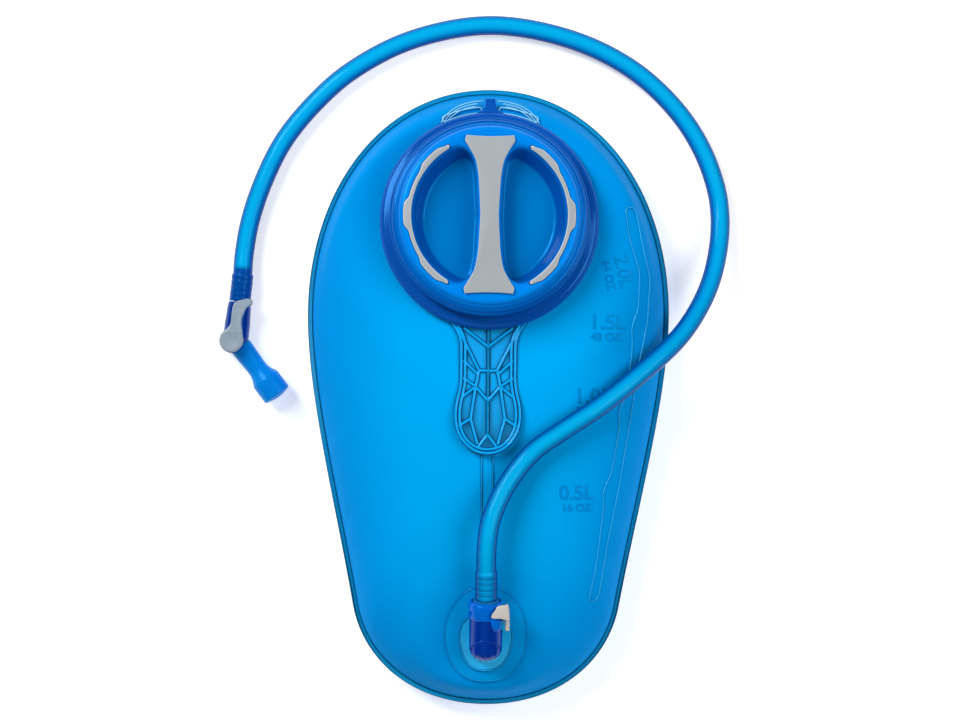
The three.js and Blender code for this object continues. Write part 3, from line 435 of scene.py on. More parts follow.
def tubePiece(name, line, radii, innerRadii, sides):
    # rings carried along the line, for the outer wall and back again for the bore
    rings, bore = [], []
    tangent = (line[1] - line[0]).normalized()
    across = Vector((1, 0, 0)) - tangent * tangent.x
    for i, place in enumerate(line):
        ahead = line[min(i + 1, len(line) - 1)] - line[max(i - 1, 0)]
        turned = ahead.normalized()
        across = tangent.rotation_difference(turned) @ across
        across = (across - turned * across.dot(turned)).normalized()
        tangent = turned
        up = tangent.cross(across)
        for radius, target in ((radii[i], rings), (innerRadii[i], bore)):
            for k in range(sides):
                angle = 2 * math.pi * k / sides
                target.append(place + radius * (math.cos(angle) * across + math.sin(angle) * up))
    loop = [rings[i * sides : (i + 1) * sides] for i in range(len(line))]
    loop += [bore[i * sides : (i + 1) * sides] for i in reversed(range(len(line)))]
    faces = []
    for i in range(len(loop)):
        a, b = i * sides, (i + 1) % len(loop) * sides
        for k in range(sides):
            n = (k + 1) % sides
            faces.append((a + k, a + n, b + n, b + k))
    piece = meshPiece(name, [p for ring in loop for p in ring], faces)
    pick(piece)
    bpy.ops.object.mode_set(mode="EDIT")
    bpy.ops.mesh.select_all(action="SELECT")
    bpy.ops.mesh.normals_make_consistent(inside=False)
    bpy.ops.object.mode_set(mode="OBJECT")
    bpy.ops.object.shade_smooth_by_angle(angle=math.radians(50))
    return piece


def stemShade(fromPlug, fromMouthpiece):
    return 1 if fromMouthpiece < 15.5 else 0.3 if fromPlug < 13.4 else 0


# painted shade: a dark line just behind each barb's ridge
def barbLine(fromPlug, fromMouthpiece):
    along = min(fromPlug, fromMouthpiece)
    if along > tubeLine["barbReach"] - 1:
        return 0
    return 0.55 * max(0, math.cos(2 * math.pi * (along - 2.6) / tubeLine["barbPitch"])) ** 4


def makeTube():
    fine = splineThrough(tubeLine["route"], 24)
    line, length = evenLine(fine, tubeLine["spacing"])
    # the ends are drawn finer, for the rings over the barbs
    step, reach = tubeLine["endSpacing"], tubeLine["endReach"]
    closeUp, _ = evenLine(fine, step)
    last = len(closeUp) - 1
    atEnds = [p for i, p in enumerate(closeUp) if min(i, last - i) * step < reach]
    half = len(atEnds) // 2
    share = length / (len(line) - 1)
    middle = [p for i, p in enumerate(line) if reach + step < i * share < length - reach - step]
    whole = [*atEnds[:half], *middle, *atEnds[half:]]
    run = [0.0]
    for a, b in zip(whole, whole[1:]):
        run.append(run[-1] + (b - a).length)
    swelling = [barbSwelling(s) + barbSwelling(run[-1] - s) for s in run]
    outer = [tubeLine["outerRadius"] + s for s in swelling]
    inner = [tubeLine["innerRadius"] + s * 0.9 for s in swelling]
    sides = tubeLine["sides"]
    piece = tubePiece("drinkingTube", whole, outer, inner, sides)
    # how much of the stem shows through the tube, and a painted shadow line behind each of its
    # barbs
    for name, level in (("overStem", stemShade), ("barbLine", barbLine)):
        shade = piece.data.attributes.new(name, "FLOAT", "POINT")
        along = [level(s, run[-1] - s) for s in [*run, *reversed(run)] for _ in range(sides)]
        shade.data.foreach_set("value", along)
    print("tube made,", round(run[-1]), "mm long")
    return piece, whole, run[-1]


drinkingTube, tubePath, tubeLength = makeTube()

# --- the reservoir's form ---

bag = {
    "length": 307,
    "width": 180.5,
    "widestAbove": 41,
    "footWidth": 133,
    "footHeight": 49.5,
    "sideLean": 0.18,
    "rim": 2.7,
    "film": 0.8,
    "seamHeight": 18,
    "seamGap": 0.15,
    "frontRise": 34,
    "backDrop": 22,
    "crown": 3,
    "fullness": 0.6,
}
fillPort = {"y": 86.2, "height": 43, "tilt": 6.5, "seatX": 62.1, "seatY": 62.1, "mouth": 41.7}
outlet = {"y": -115.6, "height": 42, "tilt": 13, "seatX": 25.65, "seatY": 27.9}

fillTurn = Matrix.Rotation(-math.radians(fillPort["tilt"]), 4, "X")
fillPlace = shifted(0, fillPort["y"], fillPort["height"]) @ fillTurn
outletTurn = Matrix.Rotation(math.radians(outlet["tilt"]), 4, "X")
outletPlace = shifted(0, outlet["y"], outlet["height"]) @ outletTurn


def makeOutline():
    # the egg-shaped outline's right half, from the foot to the top
    half, footHalf, end = bag["width"] / 2, bag["footWidth"] / 2, bag["length"] / 2
    foot, widest = bag["footHeight"] - end, bag["widestAbove"]
    sideRise, topRise = widest - foot, end - widest
    footPull, sidePull = 0.556 * bag["footHeight"], 0.345 * sideRise
    lean = bag["sideLean"]
    stretches = [
        [
            (0, -end), (0.556 * footHalf, -end), (footHalf - lean * footPull, foot - footPull),
            (footHalf, foot),
        ],
        [
            (footHalf, foot), (footHalf + lean * sidePull, foot + sidePull),
            (half, widest - 0.276 * sideRise), (half, widest),
        ],
        [(half, widest), (half, widest + 0.55 * topRise), (0.6 * half, end), (0, end)],
    ]
    points = [p for stretch in stretches for p in bezier(*stretch, 40)]
    return [(math.atan2(y, x), math.hypot(x, y)) for x, y in [*points, (0, end)]]


outlinePolar = makeOutline()


def outlineReach(angle):
    angle = (angle + math.pi) % (2 * math.pi) - math.pi
    if abs(angle) > math.pi / 2:
        angle = math.copysign(math.pi, angle) - angle
    for (a, ra), (b, rb) in zip(outlinePolar, outlinePolar[1:]):
        if a <= angle <= b:
            return ra + (rb - ra) * (angle - a) / (b - a)
    return outlinePolar[0 if angle < 0 else -1][1]


def weldReach(angle):
    reach = outlineReach(angle)
    slope = (outlineReach(angle + 0.02) - outlineReach(angle - 0.02)) / 0.04
    return reach - bag["rim"] * math.hypot(1, slope / reach)


# the film is drawn flat under both ports, and blends into its own form at the last number's reach
seats = [
    (fillPort, -math.tan(math.radians(fillPort["tilt"])), 1.5),
    (outlet, math.tan(math.radians(outlet["tilt"])), 1.7),
]


def frontLevel(x, y, share=None):
    if share is None:
        share = min(1, math.hypot(x, y) / weldReach(math.atan2(y, x)))
    level = bag["seamHeight"] + bag["seamGap"] + bag["film"]
    level += bag["frontRise"] * (1 - share ** bag["crown"]) ** bag["fullness"]
    for port, slope, blend in seats:
        away = math.hypot(x / port["seatX"], (y - port["y"]) / port["seatY"])
        free = 1 - (1 - smoothStep(1, blend, away)) * (1 - smoothStep(0.94, 1, share))
        seatLevel = port["height"] + slope * (y - port["y"])
        level = seatLevel + (level - seatLevel) * free
    return level


def backLevel(x, y, share=None):
    if share is None:
        share = min(1, math.hypot(x, y) / weldReach(math.atan2(y, x)))
    edge = bag["seamHeight"] - bag["seamGap"] - bag["film"]
    return max(0, edge - bag["backDrop"] * (1 - share ** bag["crown"]) ** bag["fullness"])


filmDetail = {
    "spokes": 288,
    "rings": 46,
    "pucker": 0.28,  # shallow gathers where the filled film runs into the weld
    "puckers": 34,
    "groove": 0.35,  # the pressed line between the weld and the filled part
}


def puckerAt(angle, share):
    near = smoothStep(0.84, 0.955, share) * (1 - smoothStep(0.97, 1, share))
    wave = math.sin(filmDetail["puckers"] * angle + 2.4 * math.sin(3 * angle + 0.6))
    wave += 0.5 * math.sin(19 * angle + 1.7 * math.sin(5 * angle))
    return filmDetail["pucker"] * wave * near


def filmPiece(name, level, outward):
    # rings of spokes over the outline, closer together where the film turns down to the weld
    spokes, rings = filmDetail["spokes"], filmDetail["rings"]
    shares = [1 - (1 - i / rings) ** 1.7 for i in range(1, rings + 1)]
    vertices, weights, edgePlaces = [(0, 0, level(0, 0, 0))], [0.0], [(0, 0)]
    length = 0
    for k in range(spokes):
        angle = 2 * math.pi * k / spokes
        weld, edge = weldReach(angle), outlineReach(angle)
        ringPlaces = [(s, s * weld, 0) for s in shares]
        # the pressed line, the flat weld and its rounded outer edge
        depth = filmDetail["groove"]
        for over, drop in ((0.1, depth), (0.22, 0), (0.9, 0), (0.98, 0.3), (1, 0.7)):
            ringPlaces.append((1 + over, weld + over * (edge - weld), drop))
        for share, reach, drop in ringPlaces:
            x, y = reach * math.cos(angle), reach * math.sin(angle)
            z = level(x, y, min(1, share)) - outward * drop
            z += puckerAt(angle, share) if outward > 0 else 0
            vertices.append((x, y, z))
            weights.append(share)
            edgePlaces.append((length, reach - weld))
        ahead = outlineReach(angle + 2 * math.pi / spokes)
        length += math.hypot(edge * 2 * math.pi / spokes, ahead - edge)
    perSpoke = len(shares) + 5
    faces = []
    for k in range(spokes):
        a, b = 1 + k * perSpoke, 1 + (k + 1) % spokes * perSpoke
        faces.append((0, a, b))
        for i in range(perSpoke - 1):
            faces.append((a + i, a + i + 1, b + i + 1, b + i))
    if outward < 0:
        faces = [tuple(reversed(face)) for face in faces]
    piece = meshPiece(name, vertices, faces)
    data = piece.data
    weldFaces = [i for i, face in enumerate(faces) if min(weights[v] for v in face) >= 1]
    # the map runs along the edge and across the weld, in metres
    uvMap = data.uv_layers.new(name="edgeMap")
    for face in data.polygons:
        across = [edgePlaces[v] for v in face.vertices]
        wraps = max(p[0] for p in across) - min(p[0] for p in across) > length / 2
        for loop, (u, v) in zip(face.loop_indices, across):
            u = u + length if wraps and u < length / 2 else u
            uvMap.data[loop].uv = (u * mm, v * mm)
    for _ in range(2):
        data.materials.append(None)
    for i in weldFaces:
        data.polygons[i].material_index = 1
    # the share of the way out to the weld, which the film material reads for its painted shade
    shareMap = data.attributes.new("crown", "FLOAT", "POINT")
    shareMap.data.foreach_set("value", weights)
    applyModifier(piece, "SOLIDIFY", thickness=bag["film"] * mm, offset=-1)
    bpy.ops.object.shade_smooth_by_angle(angle=math.radians(40))
    return piece


def cutPortHoles(piece):
    for radius, place in ((43.8, fillPlace), (6.8, outletPlace)):
        deselect()
        bpy.ops.mesh.primitive_cylinder_add(vertices=96, radius=radius * mm, depth=0.06)
        tool = bpy.context.active_object
        tool.data.transform(place)
        cutAway(piece, tool)


frontFilm = filmPiece("frontFilm", frontLevel, 1)
cutPortHoles(frontFilm)
backFilm = filmPiece("backFilm", backLevel, -1)
print("films made")

# --- moulded marks on the front film ---

fillScale = {
    "bead": 0.42,
    "marks": [  # text, place of its middle, size
        ("2.0L", 65.6, 62.5, 9.5),
        ("1.5L", 58.0, 37.4, 10.5),
        ("1.0L", 50.8, 1.4, 10.5),
        ("0.5L", 43.6, -46.0, 10.0),
        ("64 OZ", 58.3, 60.4, 5.4),
        ("48 OZ", 57.4, 30.2, 5.6),
        ("32 OZ", 50.6, -5.9, 5.6),
        ("16 OZ", 43.8, -53.2, 5.4),
    ],
}


def onFilm(x, y, lift=0.0):
    return (x, y, frontLevel(x, y) + lift)


def roundedRun(corners, pull, steps):
    # a line through the corners with each corner turned into a short curve
    run = []
    for i, corner in enumerate(corners):
        before, after = corners[i - 1], corners[(i + 1) % len(corners)]
        b, c, a = Vector(before), Vector(corner), Vector(after)
        start = c + (b - c).normalized() * min(pull, (b - c).length / 2)
        end = c + (a - c).normalized() * min(pull, (a - c).length / 2)
        for k in range(steps + 1):
            t = k / steps
            run.append(tuple(start.lerp(c, t).lerp(c.lerp(end, t), t)))
    return run


def denseRun(run, spacing):
    dense = []
    for a, b in zip(run, [*run[1:], run[0]]):
        a, b = Vector(a), Vector(b)
        count = max(1, math.ceil((b - a).length / spacing))
        dense += [a.lerp(b, i / count) for i in range(count)]
    return dense


def makeFillScale():
    # the long closed outline down the right side, stepped in at each volume
    inner = [
        (66.5, 94), (68.5, 79), (73.9, 62), (73.4, 44), (70, 34.7), (70.7, 27.3), (70, 18.5),
        (68, 1.2), (64, -5.2), (64.6, -13.6), (61.1, -35.8), (56.7, -45.6), (57.2, -53),
        (54.2, -80),
        (50.3, -100),
    ]
    outer = [
        (55.2, -99), (59.1, -73.2), (64.6, -45), (70.7, -5.7), (73.9, 16), (78.2, 37.2),
        (79.3, 58.9),
        (75.4, 75.2), (71.5, 94),
    ]
    run = denseRun(roundedRun([*inner, *outer], 3.2, 5), 2.0)
    places = [onFilm(p.x, p.y, 0.05) for p in run]
    return beadPiece("scaleOutline", [places], fillScale["bead"], closed=True)


def makeMark(text, x, y, size, tilt):
    deselect()
    bpy.ops.object.text_add()
    mark = bpy.context.active_object
    mark.data.body = text
    mark.data.size = size * mm
    mark.data.align_x = mark.data.align_y = "CENTER"
    mark.data.extrude = 0.45 * mm
    mark.data.bevel_depth = 0.16 * mm
    mark.data.bevel_resolution = 1
    mark.data.offset = -0.1 * mm
    bpy.ops.object.convert(target="MESH")
    mark = bpy.context.active_object
    turn = Matrix.Rotation(math.radians(tilt), 4, "Z")
    for vertex in mark.data.vertices:
        flat = turn @ Vector((vertex.co.x, vertex.co.y, 0))
        px, py = x + flat.x / mm, y + flat.y / mm
        vertex.co = Vector((px, py, frontLevel(px, py) - 0.2 + vertex.co.z / mm)) * mm
    return mark


def makeMarks():
    # the two topmost marks lie along the edge
    rows = fillScale["marks"]
    return joinPieces("volumeMarks", [makeMark(*row, 0 if row[2] < 50 else -78) for row in rows])


def makeSpineStrip():
    runs = []
    for x in (-2.75, 2.75):
        runs.append([onFilm(x, -28 - i * 2.4, 0.25) for i in range(27)])
    return beadPiece("spineBeads", runs, 0.5)


def makeOutletWeld():
    # two egg-shaped weld lines round the outlet, narrower towards the tube
    ovals = []
    for halfX, top, bottom in ((20.1, 24.8, 24.4), (13.2, 13, 18.4)):
        run = []
        for k in range(96):
            angle = 2 * math.pi * k / 96
            c, s = math.cos(angle), math.sin(angle)
            x = halfX * math.copysign(abs(c) ** 0.8, c) * (1 - 0.14 * s * s * (s > 0))
            y = (top if s > 0 else bottom) * s
            run.append(Vector((x, y, 0)))
        ovals.append(run)
    return ovals


scaleOutline = makeFillScale()
volumeMarks = makeMarks()
print("moulded marks made")

# --- filling port: shapes are in the port's own frame, with Z along the mouth's axis ---

collar = {
    "outer": 53.6, "neck": 44.7, "bottom": 2.1, "top": 6.4, "neckTop": 16,
    "tabHalf": 2.6, "tabEnd": 60.5,
}
threads = {"starts": 4, "lead": 12, "turns": 0.42, "section": 0.62}


def arcPoints(radius, start, end, count, centre=(0, 0)):
    points = []
    for i in range(count):
        angle = math.radians(start + (end - start) * i / (count - 1))
        points.append((centre[0] + radius * math.cos(angle), centre[1] + radius * math.sin(angle)))
    return points


def makeCollar():
    mouth, outer, neck = fillPort["mouth"], collar["outer"], collar["neck"]
    bottom, top, neckTop = collar["bottom"], collar["top"], collar["neckTop"]
    profile = [
        (mouth, bottom), (outer - 0.5, bottom), (outer - 0.1, bottom + 0.2), (outer, bottom + 0.6),
        (outer, bottom + 1.6), (outer - 0.25, bottom + 2.5), (outer - 0.8, bottom + 3.3),
        (outer - 1.6, bottom + 3.9), (outer - 2.6, top), (neck + 1.1, top),
        (neck + 0.4, top + 0.25),
        (neck, top + 1), (neck, neckTop - 0.7), (neck - 0.2, neckTop - 0.2), (neck - 0.7, neckTop),
        (mouth + 0.5, neckTop), (mouth, neckTop - 0.5), (mouth, bottom),
    ]
    ring = spunPiece("collarRing", profile, 144)
    settle(ring, Matrix.Identity(4), 40)
    # the tab runs out of the collar in two wide fillets
    half, end = collar["tabHalf"], collar["tabEnd"]
    fillet = bezier((half, 57.4), (half + 0.2, 55), (half + 2.4, 53.4), (9, 52.6), 10)
    right = [(half - 0.5, end), (half, end - 0.5), (half, 57.6), *fillet, (9, 50)]
    outline = [*right, *mirrored(right)]
    tab = platePiece("collarTab", outline, bottom, bottom + 2.5, 0.5)
    settle(tab, Matrix.Identity(4), 30)
    turns = []
    for start in range(threads["starts"]):
        run = []
        for i in range(33):
            share = i / 32
            angle = 2 * math.pi * (start / threads["starts"] + share * threads["turns"])
            taper = min(1, 8 * share, 8 * (1 - share))
            radius = neck + 0.05 - 0.6 * (1 - taper)
            z = 8.4 + threads["lead"] * share * threads["turns"]
            run.append((radius * math.cos(angle), radius * math.sin(angle), z))
        turns.append(run)
    thread = beadPiece("neckThread", turns, threads["section"])
    settle(thread, Matrix.Identity(4), 50)
    whole = joinPieces("fillCollar", [ring, tab, thread])
    return settle(whole, fillPlace, 40)


cap = {
    "bridgeWaist": 4.35,
    "bridgeEnd": 12.05,
    "gripEnd": 38.6,
    "arcInner": 37.7,
    "arcOuter": 39.7,
    "arcBump": 1.9,
    "arcReach": 60,  # degrees to each side
    "arcRound": 1.5,
    # the dish beside the bridge: height, wall radius, border along the bridge, corner radius
    "recess": [
        (9.0, 30.4, 3.2, 3.6), (9.06, 31.4, 2.3, 4.2), (9.35, 32.1, 1.9, 4.6),
        (9.9, 32.7, 1.75, 5.0),
        (13, 34.2, 1.6, 5.8), (17.6, 36.5, 1.4, 7.0), (18.9, 37.3, 1.25, 7.4),
        (19.8, 38.2, 0.95, 7.8),
        (20.3, 39.2, 0.55, 8.2), (20.52, 40.4, 0.1, 8.6), (24, 41, -0.1, 8.8),
    ],
}


def bridgeEdge(waist, endHalf, end):
    # half of the bridge's side from the middle out: a long waist, a quick flare and a drawn-in end
    places = [
        (0, 0), (0.04, 0.165), (0.145, 0.49), (0.34, 0.69), (0.53, 0.77), (0.82, 0.87),
        (0.98, 0.92),
        (1, 0.945), (0.96, 0.975), (0.93, 1),
    ]
    flare = [(waist + share * (endHalf - waist), along * end, 0) for share, along in places]
    return [(p.x, p.y) for p in splineThrough(flare, 5)]


def recessOutline(radius, border, corner):
    # a rounded D between the bridge's side and the dish's wall, the same number of points each time
    waist, endHalf = cap["bridgeWaist"] + border, cap["bridgeEnd"] + border
    side = bridgeEdge(waist, endHalf, cap["gripEnd"] + 1.2)
    meet = next(i for i, (x, y) in enumerate(side) if math.hypot(x, y) >= radius)
    sharp = Vector(side[meet])
    sharp = sharp * (radius / sharp.length)
    along = [Vector(p) for p in side[:meet] if (Vector(p) - sharp).length > corner]
    upper = [along[round(i * (len(along) - 1) / 15)] for i in range(16)]
    cornerAngle = math.atan2(sharp.y, sharp.x)
    angles = [(cornerAngle - corner / radius) * (1 - i / 20) for i in range(21)]
    arc = [Vector((radius * math.cos(a), radius * math.sin(a))) for a in angles]
    shares = [i / 9 for i in range(1, 9)]
    turn = [upper[-1].lerp(sharp, t).lerp(sharp.lerp(arc[0], t), t) for t in shares]
    top = [*upper, *turn, *arc]
    bottom = [Vector((p.x, -p.y)) for p in reversed(top[1:-1])]
    return [*top, *bottom]


def recessTool(side):
    levels = []
    for height, *shape in cap["recess"]:
        levels.append([(side * p.x, p.y, height) for p in recessOutline(*shape)])
    return loftPiece("recess", levels)


def makeCap():
    profile = [
        (0, 7), (40.4, 7), (41, 7.6), (41, 9.8), (38.9, 9.8), (38.9, 12.4), (41, 12.4), (41, 16.7),
        (45.9, 16.7), (45.9, 7), (48.0, 7), (48.4, 7.3), (48.5, 7.8), (48.5, 15.4), (48.4, 15.9),
        (48.1, 16.2), (47.5, 16.4), (47.2, 16.6), (47.0, 17.0), (46.8, 17.3), (46.4, 17.5),
        (45.8, 17.6), (45.4, 17.8), (45.1, 18.2), (44.7, 18.5), (44.2, 18.7), (43.8, 19.0),
        (43.5, 19.4), (43.0, 19.9), (42.3, 20.3), (41.5, 20.5), (40.6, 20.5), (0, 20.5),
    ]
    body = spunPiece("capBody", profile, 160)
    cutAway(body, recessTool(1), recessTool(-1))
    cutAway(body, *[platePiece("pocket", arcGripOutline(side, 0.25), 19.2, 22) for side in (-1, 1)])
    return settle(body, fillPlace, 38)


def arcGripOutline(side, clearance):
    # a grey arc with three soft bumps on its outer edge and round ends
    inner, outer, bump, roundEnd = (cap[k] for k in ("arcInner", "arcOuter", "arcBump", "arcRound"))
    reach = cap["arcReach"] + math.degrees(clearance / outer)
    sides = []
    for steps, across in ((120, 1), (60, -1)):
        for i in range(steps + 1):
            turn = across * (2 * reach * i / steps - reach)
            past = max(0, (abs(turn) - reach + roundEnd) / roundEnd)
            end = 1 - math.sqrt(max(0, 1 - past**2))
            if across > 0:
                fromBump = min(abs(turn - k * 44) for k in (-1, 0, 1))
                high = bump if abs(turn) < 22 else 0.62 * bump
                swell = high * (1 - smoothStep(6.4, 13.2, fromBump))
                radius = outer + swell + clearance - end
            else:
                radius = inner - clearance + 0.999 * end
            angle = math.radians(turn)
            sides.append((side * radius * math.cos(angle), radius * math.sin(angle)))
    return sides


def makeArcGrip(name, side):
    grip = platePiece(name, arcGripOutline(side, 0), 19.5, 21.2, 0.6, 4)
    return settle(grip, fillPlace, 40)


def bridgeOutline():
    waist, endHalf, end = cap["bridgeWaist"], cap["bridgeEnd"], cap["gripEnd"]
    quarter = bridgeEdge(waist, endHalf, end)
    endEdge = []
    for i in range(1, 16):
        x = quarter[-1][0] * (1 - 2 * i / 16)
        endEdge.append((x, end - 0.6 * (1 - (x / endHalf) ** 2)))
    top = [*quarter, *endEdge, *mirrored(quarter)]
    bottom = [(x, -y) for x, y in reversed(top[1:-1])]
    return [*top, *bottom]


def makeBridgeGrip():
    grip = platePiece("capBridgeGrip", bridgeOutline(), 20.52, 22.1, 0.55, 4)
    return settle(grip, fillPlace, 40)


fillCollar = makeCollar()
capBody = makeCap()
arcGrips = [makeArcGrip("capArcGripLeft", -1), makeArcGrip("capArcGripRight", 1)]
bridgeGrip = makeBridgeGrip()
print("cap and collar made")

# --- clear moulding round the mouth, with the handle and the hanging loops ---

flange = {
    "outer": 54.1, "bottom": 0.4, "top": 1.8, "web": 1.2, "rimBead": 1.05, "ribBead": 1.1,
    "slotRadius": 55.6, "slotHalf": 1.15, "slotFrom": 66.5, "slotTo": 84.2,
}
handle = {
    "root": (22.5, -46),
    "waist": (14.1, -62, -77),
    "palm": (16.6, -95),
    "end": -114.6,
    # each rib runs between two places on one side of the middle and is mirrored
    "ribs": [
        ((12, -52.5), (0, -61.8)),
        ((15.2, -52), (4.4, -73.3)),
        ((0, -52), (0, -104.6)),
        ((4.4, -73.3), (0, -73.6)),
        ((11.9, -68.6), (5.2, -75)),
        ((4.4, -73.3), (6, -81.2)),
        ((12, -77), (6, -81.2)),
        ((6, -81.2), (12.9, -86.8)),
        ((6, -81.2), (0, -88.2)),
        ((6, -81.2), (8.3, -96.8)),
        ((8.3, -96.8), (14, -100.6)),
        ((8.3, -96.8), (4.9, -109.3)),
        ((0, -104.6), (4.4, -110.5)),
    ],
}


def handleOutline(inset):
    rootX, rootY = handle["root"]
    waist, waistTop, waistBottom = handle["waist"]
    palm, palmY = handle["palm"]
    rootX, waist, palm, end = rootX - inset, waist - inset, palm - inset, handle["end"] + inset
    side = bezier(
        (rootX, rootY), (rootX - 5, rootY - 5), (waist, waistTop + 6), (waist, waistTop), 12
    )
    side += [(waist, waistTop + (waistBottom - waistTop) * i / 6) for i in range(6)]
    side += bezier(
        (waist, waistBottom), (waist, waistBottom - 7), (palm, palmY + 7), (palm, palmY), 10
    )
    side += bezier((palm, palmY), (palm, palmY - 12), (palm / 2, end), (0, end), 18)
    return [*side, (0, end), *mirrored(side)]


def loopOutline(side, inset):
    # the band of a hanging loop, outside its slot
    tip = math.radians(62.5)
    tipX, tipY = flange["outer"] * math.cos(tip), flange["outer"] * math.sin(tip)
    top = collar["tabEnd"] - inset
    nearTip = (tipX - 3.2 - inset, tipY + 8.4 - inset)
    outer = bezier((0.5, top), (13, top + 0.2), nearTip, (tipX - inset, tipY), 24)
    return [(side * x, y) for x, y in outer]


def slotOutline(side, clearance):
    # a narrow slot along an arc, with round ends
    radius, half = flange["slotRadius"], flange["slotHalf"] + clearance
    start, end = flange["slotFrom"], flange["slotTo"]
    points = []
    for a, b, edge, turn in ((start, end, radius + half, 0), (end, start, radius - half, 180)):
        tip = math.radians(b)
        centre = (radius * math.cos(tip), radius * math.sin(tip))
        points += arcPoints(edge, a, b, 26)
        points += arcPoints(half, b + turn, b + turn + 180, 9, centre)[1:-1]
    return [(side * x, y) for x, y in points]


def makeClearFlange():
    bottom, top = flange["bottom"], flange["web"]
    mouth, outer, ringTop = fillPort["mouth"], flange["outer"], flange["top"]
    profile = [(mouth, bottom), (outer, bottom), (outer, ringTop - 0.4), (outer - 0.3, ringTop)]
    ring = spunPiece("flangeRing", [*profile, (mouth, ringTop), (mouth, bottom)], 120)
    lip = mouth + 1.7
    sleeve = [(mouth, -3), (lip, -3), (lip, 0.5), (mouth, 0.5), (mouth, -3)]
    sleeve = spunPiece("sleeve", sleeve, 120)
    pieces = [ring, sleeve, platePiece("handlePlate", handleOutline(0.3), bottom, top, 0.3, 2)]
    for side in (-1, 1):
        band = [(0, 50), *loopOutline(side, 0.3), (side * 19, 44)]
        loop = platePiece("loop", band, bottom, top)
        pieces.append(cutAway(loop, platePiece("slot", slotOutline(side, 0), -2, 4)))
    return settle(joinPieces("portFlange", pieces), fillPlace, 40)


def makeFlangeRibs():
    top = flange["web"]
    runs = []
    for inset in (1.0, 2.9):
        runs.append([(x, y, top - 0.3) for x, y in handleOutline(inset)[1:-1]])
    pieces = [beadPiece("handleRim", runs, flange["rimBead"])]
    ribs = []
    for (x1, y1), (x2, y2) in handle["ribs"]:
        for side in (-1, 1):
            ribs.append([(side * x1, y1, top - 0.45), (side * x2, y2, top - 0.45)])
    pieces.append(beadPiece("ribs", ribs, flange["ribBead"]))
    return settle(joinPieces("flangeRibs", pieces), fillPlace, 50)


def makeLoopLines():
    # the raised lines round each hanging loop and its slot
    top = flange["web"]
    lines = []
    for side in (-1, 1):
        for inset in (0.5, 1.7, 2.9):
            lines.append([(x, y, top) for x, y in loopOutline(side, inset)[2 + round(inset) :]])
    rims = [[(x, y, top) for x, y in slotOutline(side, 0.25)] for side in (-1, 1)]
    pieces = [beadPiece("bandLines", lines, 0.34), beadPiece("slotRims", rims, 0.4, closed=True)]
    return settle(joinPieces("loopLines", pieces), fillPlace, 50)


portFlange = makeClearFlange()
flangeRibs = makeFlangeRibs()
loopLines = makeLoopLines()
print("clear flange made")

# --- outlet: shapes are in the outlet's own frame, with Y along the tube ---

socket = {"body": 8.1, "bell": 8.6, "axis": 11.2, "rear": -9.4, "dome": 6.4, "mouth": 21}
button = {"hole": 5.2, "plateFrom": 14.7, "plateTo": 16.7, "headX": 9.3, "outerX": 10.9}


def makeOutletFoot():
    outer, inner = makeOutletWeld()
    base = platePiece("footBase", [(p.x, p.y) for p in outer], 0.4, 1.1, 0.4, 3)
    spigot = spunPiece("spigot", [(5.0, -3), (6.4, -3), (6.4, 1), (5.0, 1), (5.0, -3)], 48)
    step = platePiece("footStep", [(p.x, p.y) for p in inner], 0.8, 2.4, 0.7, 4)
    foot = joinPieces("outletFoot", [base, spigot])
    return settle(foot, outletPlace, 40), settle(step, outletPlace, 40)


def makeFootLines():
    # the raised weld line and the step's round lip
    outer, inner = makeOutletWeld()
    pieces = []
    for name, oval, share, level, radius in (
        ("footRidge", inner, 0.985, 2.2, 0.55), ("weldLine", outer, 0.99, 1.0, 0.3),
    ):
        run = [(p.x * share, p.y * share, level) for p in oval]
        pieces.append(beadPiece(name, [run], radius, closed=True))
    return settle(joinPieces("footLines", pieces), outletPlace, 50)


def makeCradle():
    # a round cup that the back end of the socket sits in
    profile = [
        (0, 2.2), (6.6, 2.2), (6.7, 4.0), (7.1, 4.5), (7.6, 4.5), (8.0, 4.0), (8.2, 1.6), (0, 1.6)
    ]
    cradle = spunPiece("footCradle", profile, 64)
    cradle.data.transform(shifted(0, -5.4, 0))
    return settle(cradle, outletPlace, 50)


def onSocket(profile, name, steps=72):
    # profile pairs are (radius, place along the tube)
    piece = spunPiece(name, profile, steps, (0, 1, 0))
    piece.data.transform(shifted(0, 0, socket["axis"]))
    return piece


def domeRadius(along):
    # the socket's radius at a place along its axis: a round back end, then straight
    back = socket["rear"] + socket["dome"]
    if along >= back:
        return socket["body"]
    return socket["body"] * math.sqrt(max(0, 1 - ((back - along) / socket["dome"]) ** 2))


